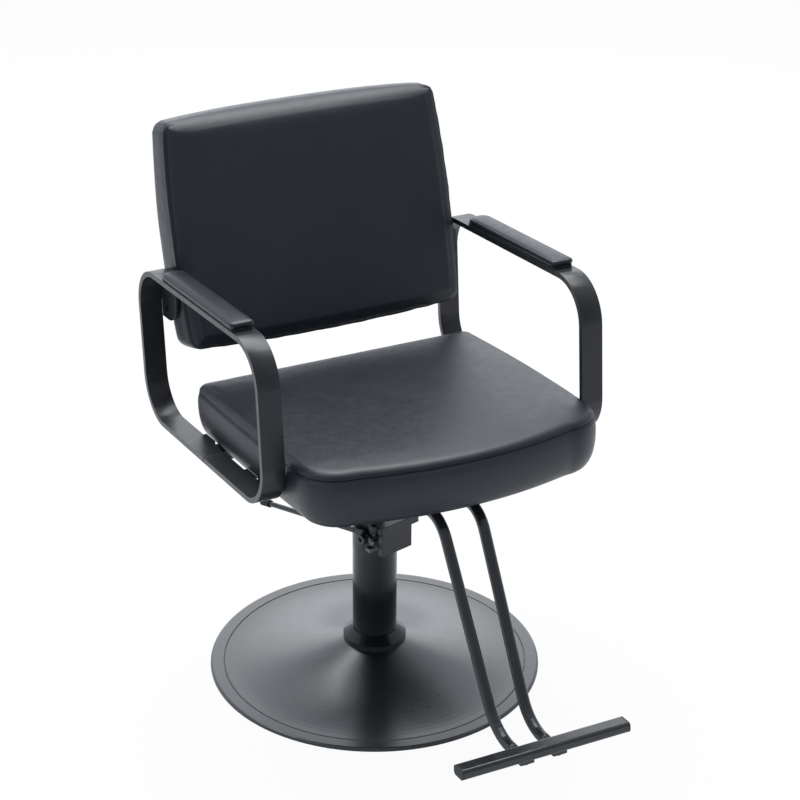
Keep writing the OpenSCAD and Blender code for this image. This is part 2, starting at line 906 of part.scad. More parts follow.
module mount_bolts() {
    color(bolt_black)
        mount_bolt_places() {
            translate([0, 0, mount_low - mount_nut_h])
                cylinder(h = mount_nut_h, d = mount_head_d, $fn = 6);
            translate([0, 0, mount_low - over])
                cylinder(h = mount_t + channel_t + 2 * over, d = mount_bolt_d);
            translate([0, 0, mount_top + channel_t])
                cylinder(h = mount_head_h, d = mount_head_d);
        }
}

module wedge_channel(side) {
    color(steel_black)
        difference() {
            union() {
                difference() {
                    seat_frame()
                        translate([side * (channel_x + channel_t / 2) - channel_t / 2, channel_front,
                            cross_low - mount_w])
                            cube([channel_t, channel_rear - channel_front, mount_w]);
                    translate([-mount_w, -mount_w * 2, mount_top - mount_w * 2])
                        cube([mount_w * 2, mount_w * 4, mount_w * 2]);
                }
                translate([side * (channel_x + channel_flange / 2) - channel_flange / 2, -mount_w / 2,
                    mount_top])
                    cube([channel_flange, mount_w, channel_t]);
            }
            mount_bolt_places()
                translate([0, 0, mount_top - over])
                    cylinder(h = channel_t + 2 * over, d = mount_bolt_d + 2 * hole_gap);
        }
}

module wedge_channel_left() wedge_channel(-1);
module wedge_channel_right() wedge_channel(1);

// Cross bars

module seat_bolt_places(y) {
    for (x = [-seat_bolt_x, seat_bolt_x])
        translate([x, y, 0])
            children();
}

module cross_bar(y) {
    color(steel_black)
        seat_frame()
            difference() {
                union() {
                    translate([-loop_in, y - cross_w / 2, cross_low])
                        cube([2 * loop_in, cross_w, cross_h]);
                    for (side = [-1, 1])
                        translate([side * (loop_in - lug_t / 2) - lug_t / 2, y - cross_w / 2, cross_low])
                            cube([lug_t, cross_w, lug_top - cross_low]);
                }
                translate([lug_t - loop_in, y - cross_w / 2 + cross_wall, cross_low + cross_wall])
                    cube([2 * (loop_in - lug_t), cross_w - 2 * cross_wall, cross_h - 2 * cross_wall]);
                seat_bolt_places(y)
                    translate([0, 0, cross_low - over])
                        cylinder(h = cross_h + 2 * over, d = seat_bolt_d + 2 * hole_gap);
            }
}

module cross_bar_front() cross_bar(cross_front_y);
module cross_bar_rear() cross_bar(cross_rear_y);

// Arm loops and pads

module pad_screw_places(side) {
    mid = (pad_front + pad_rear) / 2;
    half = (pad_rear - pad_front) / 2;
    for (end = [-1, 1])
        translate([side * loop_mid, mid + end * pad_screw_y_share * half, 0])
            children();
}

module arm_loop(side) {
    color(steel_black)
        seat_frame()
            difference() {
                translate([side * loop_mid, 0, 0])
                    along_x(-loop_bar_w / 2, loop_bar_w / 2)
                        difference() {
                            rounded_rect([loop_front, loop_low], [loop_rear, loop_high], loop_r);
                            rounded_rect([loop_front + loop_bar_t, loop_low + loop_bar_t],
                                [loop_rear - loop_bar_t, loop_high - loop_bar_t], loop_r - loop_bar_t);
                        }
                pad_screw_places(side)
                    translate([0, 0, loop_high - loop_bar_t - over])
                        cylinder(h = loop_bar_t + 2 * over, d = pad_screw_d + 2 * hole_gap);
            }
}

module arm_loop_left() arm_loop(-1);
module arm_loop_right() arm_loop(1);

module pad_base(side) {
    half = pad_w / 2 - pad_base_in;
    color(board_black)
        seat_frame()
            difference() {
                translate([side * loop_mid, 0, loop_high])
                    linear_extrude(height = pad_base_t)
                        rounded_rect([-half, pad_front + pad_base_in], [half, pad_rear - pad_base_in],
                            pad_front_r - pad_base_in);
                pad_screw_places(side)
                    translate([0, 0, loop_high - over])
                        cylinder(h = pad_base_t + 2 * over, d = pad_screw_d + 2 * fit_gap);
            }
}

module pad_base_left() pad_base(-1);
module pad_base_right() pad_base(1);

module arm_pad(side) {
    low = loop_high + pad_base_t;
    mid = (pad_front + pad_rear) / 2;
    half = [pad_w / 2, (pad_rear - pad_front) / 2];
    full = outline(pad_w / 2, pad_front, pad_rear, pad_front_r, pad_rear_r, [0, 0, 0]);
    edge = outline(pad_w / 2 - pad_edge_in, pad_front + pad_edge_in, pad_rear - pad_edge_in,
        pad_front_r, pad_rear_r, [0, 0, 0]);
    rings = concat(
        [for (row = pad_profile_shares) lift(full + row[0] * (edge - full), low + row[1] * pad_side)],
        [for (s = pad_crown_shares) crowned(edge, mid, half, s, low + pad_side, pad_crown)]);
    color(vinyl_black)
        seat_frame()
            translate([side * loop_mid, 0, 0])
                ring_stack(rings);
}

module arm_pad_left() arm_pad(-1);
module arm_pad_right() arm_pad(1);

module pad_screws() {
    bar_low = loop_high - loop_bar_t;
    color(bolt_black)
        seat_frame()
            for (side = [-1, 1])
                pad_screw_places(side) {
                    translate([0, 0, bar_low - pad_head_h])
                        cylinder(h = pad_head_h, d = pad_head_d);
                    translate([0, 0, bar_low - over])
                        cylinder(h = loop_bar_t + pad_base_t, d = pad_screw_d);
                }
}

// Seat

function seat_outline(inset) = outline(seat_w / 2 - inset, seat_front + inset, seat_rear - inset,
    max(seat_front_r - inset, board_corner_r), max(seat_rear_r - inset, board_corner_r),
    [0, 0, seat_bow]);

module seat_board() {
    color(board_black)
        seat_frame()
            difference() {
                translate([0, 0, seat_low])
                    linear_extrude(height = seat_board_t)
                        polygon(seat_outline(seat_board_in + seat_gap));
                for (y = [cross_front_y, cross_rear_y])
                    seat_bolt_places(y)
                        translate([0, 0, seat_low - over])
                            cylinder(h = seat_board_t + over - 2 * hole_gap, d = seat_bolt_d + 2 * fit_gap);
            }
}

module seat_bolts() {
    color(bolt_black)
        seat_frame()
            for (y = [cross_front_y, cross_rear_y])
                seat_bolt_places(y) {
                    translate([0, 0, cross_low - seat_bolt_head_h])
                        cylinder(h = seat_bolt_head_h, d = seat_bolt_head_d, $fn = 6);
                    translate([0, 0, cross_low - over])
                        cylinder(h = cross_h + seat_board_t - over, d = seat_bolt_d);
                }
}

module seat_cushion() {
    mid = (seat_front + seat_rear) / 2;
    half = [seat_w / 2, (seat_rear - seat_front) / 2 + seat_bow];
    full = seat_outline(0);
    edge = seat_outline(seat_edge_in);
    pocket = seat_outline(seat_board_in);
    side_h = seat_seam - seat_low;
    top_row = seat_profile_shares[len(seat_profile_shares) - 1];
    top = full + top_row[0] * (edge - full);
    top_z = seat_low + top_row[1] * side_h;
    rings = concat(
        [lift(pocket, seat_low + seat_board_t + seat_gap), lift(pocket, seat_low)],
        [for (row = seat_profile_shares) lift(full + row[0] * (edge - full), seat_low + row[1] * side_h)],
        [for (s = crown_shares) crowned(top, mid, half, s, top_z, seat_crown - top_z)]);
    color(vinyl_black)
        seat_frame()
            ring_stack(rings);
}

// Back, drawn lying down: X across, Y up along the back, Z forward out of its front panel

module back_lying() {
    back_frame()
        rotate([90, 0, 0])
            translate([0, 0, -back_deep])
                children();
}

function back_outline(inset) = outline(back_w / 2 - inset, inset, back_h - inset,
    max(back_low_r - inset, back_high_r / 2), max(back_high_r - inset, back_high_r / 2),
    [back_bow, back_bow, back_bow]);

module bracket_bolt_places() {
    for (i = [0, 1])
        translate([0, bracket_bolt_up + i * bracket_bolt_pitch, back_board_t / 2])
            children();
}

module back_board() {
    color(board_black)
        back_lying()
            difference() {
                linear_extrude(height = back_board_t)
                    polygon(back_outline(back_board_in + seat_gap));
                bracket_bolt_places()
                    for (side = [-1, 1])
                        pin_x(side * (back_w / 2 - bracket_bolt_in / 2) - bracket_bolt_in,
                            side * (back_w / 2 - bracket_bolt_in / 2) + bracket_bolt_in,
                            bracket_bolt_d + 2 * fit_gap);
            }
}

module back_cushion() {
    half = [back_w / 2, back_h / 2];
    full = back_outline(0);
    edge = back_outline(back_edge_in);
    pocket = back_outline(back_board_in);
    top_row = back_profile_shares[len(back_profile_shares) - 1];
    top = full + top_row[0] * (edge - full);
    rings = concat(
        [lift(pocket, back_board_t + seat_gap), lift(pocket, 0)],
        [for (row = back_profile_shares) lift(full + row[0] * (edge - full), row[1] * back_deep)],
        [for (s = crown_shares) crowned(top, back_h / 2, half, s, back_deep, back_crown)]);
    color(vinyl_black)
        back_lying()
            difference() {
                ring_stack(rings);
                bracket_bolt_places()
                    pin_x(-back_w, back_w, bracket_bolt_d + 2 * hole_gap);
            }
}

// Back brackets

module bracket_shape() {
    intersection() {
        translate([bracket_front, bracket_low])
            square([loop_rear - loop_bar_t - bracket_front, bracket_high - bracket_low]);
        union() {
            translate([bracket_front + bracket_r, bracket_low + bracket_r])
                circle(r = bracket_r);
            translate([bracket_front + bracket_r, bracket_low])
                square([loop_rear - bracket_front, bracket_high - bracket_low]);
            translate([bracket_front, bracket_low + bracket_r])
                square([loop_rear - bracket_front, bracket_high - bracket_low]);
        }
    }
}

module back_bracket(side) {
    color(steel_black)
        difference() {
            seat_frame()
                translate([side * (loop_in - bracket_t / 2), 0, 0])
                    along_x(-bracket_t / 2, bracket_t / 2)
                        bracket_shape();
            back_lying()
                bracket_bolt_places()
                    pin_x(side * loop_mid - loop_bar_w, side * loop_mid + loop_bar_w,
                        bracket_bolt_d + 2 * hole_gap);
        }
}

module back_bracket_left() back_bracket(-1);
module back_bracket_right() back_bracket(1);

module bracket_spacers() {
    low = back_w / 2 + back_bow + spacer_gap;
    color(bolt_black)
        back_lying()
            bracket_bolt_places()
                for (side = [0, 1])
                    mirror([side, 0, 0])
                        difference() {
                            pin_x(low, bracket_in, spacer_d);
                            pin_x(low - over, bracket_in + over, bracket_bolt_d + 2 * hole_gap);
                        }
}

module bracket_bolts() {
    deep = back_w / 2 - bracket_bolt_in;
    color(bolt_black)
        back_lying()
            bracket_bolt_places()
                for (side = [0, 1])
                    mirror([side, 0, 0]) {
                        pin_x(deep, loop_in + over, bracket_bolt_d);
                        pin_x(loop_in, loop_in + bracket_head_h, bracket_head_d);
                    }
}

// Footrest

function rest_x(side) = side * rest_pitch / 2;
function toe_x(side) = side * rest_low_pitch / 2 + rest_shift;
function rest_lean(side) = asin((rest_x(side) - toe_x(side)) / (rest_z - toe_z));

// A ring across the tube: its middle, how far it is turned from the vertical, and how flat it is
// pressed, from 0 for round to 1 for flat.
function rest_ring(y, z, turn, flat) =
    let (r = rest_tube_d / 2)
    [for (i = [0 : rest_sides - 1])
        let (a = 360 * (i + 0.5) / rest_sides, c = cos(a), d = sin(a),
            k = min(toe_w / 2 / abs(c), toe_t / 2 / abs(d)), rad = r + flat * (k - r))
            [-c * rad, y - d * rad * sin(turn), z + d * rad * cos(turn)]];
function ease(t) = let (s = max(0, min(1, t))) s * s * (3 - 2 * s);
function rest_rings() = concat(
    [rest_ring(rest_rear_y, 0, 0, 0)],
    [for (i = [0 : bend_steps])
        let (a = rest_turn * i / bend_steps)
            rest_ring(rest_bend_y - rest_bend_r * sin(a), rest_bend_r * (cos(a) - 1), a, 0)],
    [for (i = [0 : bend_steps])
        let (a = rest_turn * (1 - i / bend_steps))
            rest_ring(toe_y + rest_toe_r * sin(a), toe_z - rest_z + rest_toe_r * (1 - cos(a)), a, 0)],
    [for (i = [0 : arc_steps])
        let (t = i / arc_steps) rest_ring(toe_y - toe_start - t * toe_blend, toe_z - rest_z, 0, ease(t))],
    [rest_ring(toe_flat_y - toe_len, toe_z - rest_z, 0, 1)]);
// The tube leans sideways from its top run. Its flattened end is level again.
function lean_over(p, lean, flat) =
    [p[0] * (1 - flat) * cos(lean) + p[0] * flat + p[2] * sin(lean), p[1],
        p[2] * (cos(lean) * (1 - flat) + flat) - p[0] * (1 - flat) * sin(lean)];

module footrest_tube(side) {
    rings = rest_rings();
    toe = len(rings) - 1;
    color(steel_black)
        seat_frame()
            difference() {
                translate([rest_x(side), 0, rest_z])
                    ring_stack([for (j = [0 : toe])
                        [for (p = rings[j])
                            lean_over(p, rest_lean(side), ease(1 - (toe - 1 - j) / arc_steps))]]);
                translate([rest_x(side), rest_rear_y + over, rest_z])
                    rotate([90, 0, 0])
                        cylinder(h = rest_rear_y - rest_bend_y, d = rest_tube_d - 2 * rest_wall);
                translate([toe_x(side), foot_bar_y, toe_z - toe_t])
                    cylinder(h = 2 * toe_t, d = foot_screw_d + 2 * hole_gap);
            }
}

module footrest_tube_left() footrest_tube(-1);
module footrest_tube_right() footrest_tube(1);

module foot_bar_section(inset) {
    rounded_rect([inset - foot_bar_w / 2, inset - foot_bar_h / 2],
        [foot_bar_w / 2 - inset, foot_bar_h / 2 - inset], foot_bar_r - inset);
}

module foot_bar() {
    half = foot_bar_len / 2 - foot_cap_t;
    color(steel_black)
        seat_frame()
            translate([rest_shift / 2, foot_bar_y, foot_bar_z])
                difference() {
                    along_x(-half, half)
                        foot_bar_section(0);
                    along_x(-half - over, half + over)
                        foot_bar_section(foot_bar_wall);
                    for (side = [-1, 1])
                        translate([side * rest_low_pitch / 2 + rest_shift / 2, 0, -foot_bar_h])
                            cylinder(h = foot_bar_h, d = foot_screw_d + 2 * fit_gap);
                }
}

module foot_bar_caps() {
    half = foot_bar_len / 2 - foot_cap_t;
    color(cap_black)
        seat_frame()
            translate([rest_shift / 2, foot_bar_y, foot_bar_z])
                for (side = [0, 1])
                    mirror([side, 0, 0]) {
                        along_x(half, half + foot_cap_t)
                            foot_bar_section(0);
                        along_x(half - foot_plug, half + over)
                            foot_bar_section(foot_bar_wall + fit_gap);
                    }
}

module footrest_screws() {
    color(bolt_black)
        seat_frame()
            for (side = [-1, 1])
                translate([side * rest_low_pitch / 2 + rest_shift, foot_bar_y, toe_z - toe_t / 2]) {
                    translate([0, 0, -foot_screw_head_h])
                        cylinder(h = foot_screw_head_h, d = foot_screw_head_d);
                    translate([0, 0, -over])
                        cylinder(h = toe_t + foot_bar_h / 2 + over, d = foot_screw_d);
                }
}

floor_ring();
base_cover();
ballast_plate();
column_foot();
foot_bolts();
column_collar();
column_tube();
pump_cylinder();
column_cap();
guide_bush();
ram_wiper();
head_plate();
head_cover();
head_screws();
pivot_pin();
lever_hub();
lever_rod();
pedal_grip();
lever_arm();
pump_plunger();
ram_rod();
ram_piston();
piston_seals();
ram_collar();
thrust_washer();
swivel_socket();
mount_plate();
mount_bolts();
wedge_channel_left();
wedge_channel_right();
cross_bar_front();
cross_bar_rear();
arm_loop_left();
arm_loop_right();
pad_base_left();
pad_base_right();
arm_pad_left();
arm_pad_right();
pad_screws();
seat_board();
seat_bolts();
seat_cushion();
back_bracket_left();
back_bracket_right();
bracket_spacers();
bracket_bolts();
back_board();
back_cushion();
footrest_tube_left();
footrest_tube_right();
foot_bar();
foot_bar_caps();
footrest_screws();
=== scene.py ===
"""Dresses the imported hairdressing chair: camera, light, materials and upholstery. Metres, +Z up."""

import math

import bpy
import numpy as np
from mathutils import Matrix, Vector
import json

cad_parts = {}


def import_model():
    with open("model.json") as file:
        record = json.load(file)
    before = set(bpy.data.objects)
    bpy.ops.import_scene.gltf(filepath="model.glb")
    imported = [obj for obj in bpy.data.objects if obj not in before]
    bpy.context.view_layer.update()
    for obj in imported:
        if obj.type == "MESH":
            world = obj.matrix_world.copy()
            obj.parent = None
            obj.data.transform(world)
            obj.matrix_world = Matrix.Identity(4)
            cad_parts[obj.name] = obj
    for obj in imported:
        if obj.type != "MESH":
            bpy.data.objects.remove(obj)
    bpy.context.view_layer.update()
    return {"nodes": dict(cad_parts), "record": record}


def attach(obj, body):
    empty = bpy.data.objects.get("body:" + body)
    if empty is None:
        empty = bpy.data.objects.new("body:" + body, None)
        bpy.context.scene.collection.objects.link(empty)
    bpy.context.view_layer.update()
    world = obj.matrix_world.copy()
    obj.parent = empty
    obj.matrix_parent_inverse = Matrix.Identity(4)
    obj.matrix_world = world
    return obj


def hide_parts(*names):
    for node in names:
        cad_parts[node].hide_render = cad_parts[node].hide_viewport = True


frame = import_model()
NODES = frame["nodes"]
RANDOM = np.random.default_rng(7)

# Seat frame: everything that swivels is drawn upright and then tilted back about this height
SEAT_TILT = math.radians(5.29)
TILT_Z = 0.450
LOOP_MID_X = 0.2954
LOOP_HALF_W = 0.020
LOOP_TOP_Z = 0.7556
LOOP_LOW_Z = 0.4697
LOOP_BAR_T = 0.0094

# Seat cushion, in the seat frame, and the board that it stands on
SEAT_HALF = 0.272
SEAT_FRONT = -0.349
SEAT_BOW = 0.030
SEAT_SIDE_BOW = 0.003
SEAT_REAR = 0.159
SEAT_LOW = 0.456
SEAT_FRONT_R = 0.076
SEAT_REAR_R = 0.024
BOARD_IN = 0.036
BOARD_T = 0.012
BOARD_GAP = 0.0003

# Back cushion, lying down: X across, Y up along the back, Z forward out of the front panel, with the
# place and lean that stand it up, and its board
BACK_LEAN = math.radians(11)
BACK_Y = 0.1726
BACK_Z = 0.6121
BACK_HALF = 0.2615
BACK_H = 0.400
BACK_DEEP = 0.0716
BACK_BOW = 0.0085
BACK_LOW = -0.0010
BACK_LOW_BOW = 0.0075
BACK_LOW_R = 0.023
BACK_HIGH_R = 0.024
BACK_BOARD_IN = 0.016
BACK_BOARD_T = 0.014

# Arm pads, in the seat frame
PAD_FRONT = -0.152
PAD_REAR = 0.160
PAD_HALF = 0.021
PAD_BASE_T = 0.004
PAD_CROWN = 0.0032
PAD_FRONT_R = 0.007
PAD_REAR_R = 0.018

# Points of a dense outline on half a corner and on a side
CORNER_STEPS = 24
SIDE_STEPS = 60
# How close the columns beside a pinched column are drawn to it
PINCH = 0.0018


def tilted():
    """The seat frame's matrix."""
    up = Matrix.Translation((0, 0, TILT_Z))
    return up @ Matrix.Rotation(-SEAT_TILT, 4, "X") @ up.inverted()


def lying():
    """The matrix that stands the lying back up in its place."""
    lean = Matrix.Translation((0, BACK_Y, BACK_Z)) @ Matrix.Rotation(-BACK_LEAN, 4, "X")
    upright = Matrix.Rotation(math.pi / 2, 4, "X")
    return tilted() @ lean @ upright @ Matrix.Translation((0, 0, -BACK_DEEP))


# Outlines and grids


def dense_outline(half, y0, y1, r0, r1, bows):
    """A rounded rectangle with bowed sides as a dense closed polyline, anticlockwise from the middle of
    the front left corner. Returns its points and the places of the four corners' middles."""
    bow_side, bow_rear, bow_front = bows
    points, marks = [], []

    def arc(cx, cy, r, start, first, last):
        for i in range(CORNER_STEPS):
            a = start + (first + (last - first) * i / CORNER_STEPS) * math.pi / 2
            points.append((cx + r * math.cos(a), cy + r * math.sin(a)))

    def side(a, b, bow, out):
        for i in range(SIDE_STEPS):
            t = i / SIDE_STEPS
            s = 2 * t - 1
            rise = bow * (1 - s * s)
            points.append((a[0] + t * (b[0] - a[0]) + rise * out[0],
                           a[1] + t * (b[1] - a[1]) + rise * out[1]))

    corners = [((-half + r0, y0 + r0), r0, math.pi), ((half - r0, y0 + r0), r0, 1.5 * math.pi),
               ((half - r1, y1 - r1), r1, 0), ((-half + r1, y1 - r1), r1, math.pi / 2)]
    sides = [((-half + r0, y0), (half - r0, y0), bow_front, (0, -1)),
             ((half, y0 + r0), (half, y1 - r1), bow_side, (1, 0)),
             ((half - r1, y1), (-half + r1, y1), bow_rear, (0, 1)),
             ((-half, y1 - r1), (-half, y0 + r0), bow_side, (-1, 0))]
    for k in range(4):
        (cx, cy), r, start = corners[k]
        marks.append(len(points))
        arc(cx, cy, r, start, 0.5, 1)
        side(*sides[k])
        (cx, cy), r, start = corners[(k + 1) % 4]
        arc(cx, cy, r, start, 0, 0.5)
    return np.array(points), marks


def sample_outline(shape, nx, ny, pinches=()):
    """Points and outward normals at even steps: nx along the front, ny up the right side, and so on.

    A pinch (side, column) draws the columns beside one close to it, so that a fine crease can run
    there. Side 0 is the front, 1 the right, 2 the rear and 3 the left."""
    points, marks = dense_outline(*shape)
    n = len(points)
    ahead = np.roll(points, -1, axis=0) - np.roll(points, 1, axis=0)
    ahead /= np.linalg.norm(ahead, axis=1)[:, None]
    normals = np.stack([ahead[:, 1], -ahead[:, 0]], axis=1)
    out_p, out_n = [], []
    for k, count in enumerate((nx, ny, nx, ny)):
        first = marks[k]
        last = marks[k + 1] if k < 3 else n
        index = np.arange(first, last + 1) % n
        run = lengths(points[index])
        at = np.linspace(0, run[-1], count + 1)
        for side, column in pinches:
            if side == k:
                if column > 0:
                    at[column - 1] = at[column] - PINCH
                if column < count:
                    at[column + 1] = at[column] + PINCH
        at = at[:-1]
        out_p.append(np.stack([np.interp(at, run, points[index, c]) for c in (0, 1)], axis=1))
        out_n.append(np.stack([np.interp(at, run, normals[index, c]) for c in (0, 1)], axis=1))
    p, nrm = np.concatenate(out_p), np.concatenate(out_n)
    return p, nrm / np.linalg.norm(nrm, axis=1)[:, None]


def coons(ring, nx, ny):
    """The interior points of a ring's patch, as an array (ny - 1, nx - 1, 2)."""
    front = ring[:nx + 1]
    right = ring[nx:nx + ny + 1]
    rear = ring[nx + ny:2 * nx + ny + 1][::-1]
    left = np.concatenate([ring[2 * nx + ny:], ring[:1]])[::-1]
    u = np.linspace(0, 1, nx + 1)[1:-1][None, :, None]
    v = np.linspace(0, 1, ny + 1)[1:-1][:, None, None]
    along = (1 - v) * front[None, 1:-1] + v * rear[None, 1:-1]
    across = (1 - u) * left[1:-1, None] + u * right[1:-1, None]
    corner = ((1 - u) * (1 - v) * front[0] + u * (1 - v) * front[-1]
              + (1 - u) * v * rear[0] + u * v * rear[-1])
    return along + across - corner


def lengths(path):
    """The length run along a path up to each of its points."""
    return np.concatenate([[0], np.cumsum(np.linalg.norm(np.diff(path, axis=0), axis=1))])


def smooth_curve(knots, steps):
    """A smooth curve through a few (inset, height) knots, with steps points between knots."""
    k = np.array(knots, dtype=float)
    k = np.concatenate([[2 * k[0] - k[1]], k, [2 * k[-1] - k[-2]]])
    out = []
    for i in range(1, len(k) - 2):
        p0, p1, p2, p3 = k[i - 1:i + 3]
        for j in range(steps):
            t = j / steps
            out.append(0.5 * (2 * p1 + (p2 - p0) * t + (2 * p0 - 5 * p1 + 4 * p2 - p3) * t * t
                              + (3 * p1 - p0 - 3 * p2 + p3) * t ** 3))
    out.append(k[-2])
    return np.array(out)


def add_mesh(name, verts, faces):
    """A new smooth-shaded mesh object in the scene."""
    mesh = bpy.data.meshes.new(name)
    mesh.from_pydata([tuple(v) for v in verts], [], faces)
    mesh.validate()
    mesh.polygons.foreach_set("use_smooth", [True] * len(mesh.polygons))
    mesh.update()
    obj = bpy.data.objects.new(name, mesh)
    bpy.context.scene.collection.objects.link(obj)
    return obj


def joined(pieces):
    """The vertices and faces of several pieces, each a (vertices, faces) pair, as one pair."""
    verts, faces = [], []
    for piece_verts, piece_faces in pieces:
        faces += [tuple(i + len(verts) for i in face) for face in piece_faces]
        verts += piece_verts
    return verts, faces


def rod_faces(rings, sides, first=0):
    """Faces of a closed rod, from its number of rings of vertices and its first vertex's index."""
    faces = []
    for j in range(rings - 1):
        low, high = first + j * sides, first + (j + 1) * sides
        for k in range(sides):
            beside = (k + 1) % sides
            faces.append((low + k, low + beside, high + beside, high + k))
    last = first + (rings - 1) * sides
    faces.append(tuple(first + k for k in range(sides))[::-1])
    faces.append(tuple(last + k for k in range(sides)))
    return faces


def patch_faces(boundary, first, nx, ny, flip):
    """Quads over a patch, from its boundary ring's indices and its first interior index."""

    def at(i, j):
        if j == 0:
            return boundary[i]
        if i == nx:
            return boundary[nx + j]
        if j == ny:
            return boundary[2 * nx + ny - i]
        if i == 0:
            return boundary[(2 * nx + 2 * ny - j) % len(boundary)]
        return first + (j - 1) * (nx - 1) + i - 1

    faces = []
    for j in range(ny):
        for i in range(nx):
            quad = (at(i, j), at(i + 1, j), at(i + 1, j + 1), at(i, j + 1))
            faces.append(quad[::-1] if flip else quad)
    return faces


def ring_mesh(name, rings, low_patch, high_patch, nx, ny):
    """A closed form from its rings, bottom to top, and the interior points of its two end rings."""
    n = len(rings[0])
    verts = np.concatenate([*rings, low_patch.reshape(-1, 3), high_patch.reshape(-1, 3)])
    faces = [(k * n + i, k * n + (i + 1) % n, (k + 1) * n + (i + 1) % n, (k + 1) * n + i)
             for k in range(len(rings) - 1) for i in range(n)]
    first = len(rings) * n
    faces += patch_faces(list(range(n)), first, nx, ny, True)
    top = (len(rings) - 1) * n
    faces += patch_faces(list(range(top, top + n)), first + (nx - 1) * (ny - 1), nx, ny, False)
    return add_mesh(name, verts, faces)


def swell(share, power=2.6):
    """A crown's height share at a place from -1 to 1 across it."""
    return 1 - np.minimum(1, np.abs(share)) ** power


def ease(share):
    """A smooth step from 0 at 0 to 1 at 1."""
    share = np.clip(share, 0, 1)
    return share * share * (3 - 2 * share)


# Padded forms

# Steps of the rings up the profile, and points of its curve from knot to knot
RING_STEP = 0.0065
CURVE_STEPS = 10
FACING_STEP = 0.0008
# Distance of each row of stitches from its seam
STITCH_ROW = 0.0036
# A seam's relief on one side, as (distance from the seam, height), and the height in its groove
SEAM_SIDE = [(0.0008, -0.0009), (0.0018, 0.0007), (0.0029, -0.0002), (STITCH_ROW, -0.0015),
             (0.0043, -0.0002), (0.0056, 0.0004), (0.0075, 0)]
SEAM_GROOVE = -0.0023
SEAM_RINGS = [-away for away, _ in SEAM_SIDE[::-1]] + [0] + [away for away, _ in SEAM_SIDE]
SEAM_RELIEF = [up for _, up in SEAM_SIDE[::-1]] + [SEAM_GROOVE] + [up for _, up in SEAM_SIDE]
SEAM_REACH = SEAM_RINGS[-1]
# Creases across a side: their depth, and where they start on the profile
CREASE_DEEP = 0.0011
CREASE_START = 0.006
# Small puckers along a seam, and how far from it they die out
PUCKER = 0.0003
PUCKER_REACH = 0.009

# The cloth that each pad is blown up as
CLOTH_FRAMES = 20
CLOTH_QUALITY = 4
CLOTH_MASS = 0.3
CLOTH_STRETCH = 12
CLOTH_SHEAR = 6
CLOTH_BEND = 0.8
CLOTH_PRESSURE = 4
# How often the cloth's movement is smoothed, and each neighbour's weight in a ring and in the top patch
CALM_TURNS = 14
CALM_RING = 0.25
CALM_TOP = 0.15
# Divides a random value that is summed over three columns, so that its spread is about 1
NOISE_SPREAD = 1.7


def blow_up(obj, held):
    """Blows a form up as cloth, the held vertices fixed, and removes it. Returns how far each vertex
    moved."""
    obj.vertex_groups.new(name="held").add(held, 1.0, "REPLACE")
    rest = np.array([v.co for v in obj.data.vertices])
    cloth = obj.modifiers.new("cloth", "CLOTH").settings
    cloth.quality = CLOTH_QUALITY
    cloth.mass = CLOTH_MASS
    cloth.tension_stiffness = cloth.compression_stiffness = CLOTH_STRETCH
    cloth.shear_stiffness = CLOTH_SHEAR
    cloth.bending_stiffness = CLOTH_BEND
    cloth.effector_weights.gravity = 0
    cloth.use_pressure = True
    cloth.uniform_pressure_force = CLOTH_PRESSURE
    cloth.vertex_group_mass = "held"
    for frame_no in range(1, CLOTH_FRAMES + 1):
        bpy.context.scene.frame_set(frame_no)
    solved = obj.evaluated_get(bpy.context.evaluated_depsgraph_get()).data
    moved = np.array([v.co for v in solved.vertices]) - rest
    mesh = obj.data
    bpy.data.objects.remove(obj)
    bpy.data.meshes.remove(mesh)
    bpy.context.scene.frame_set(1)
    return moved


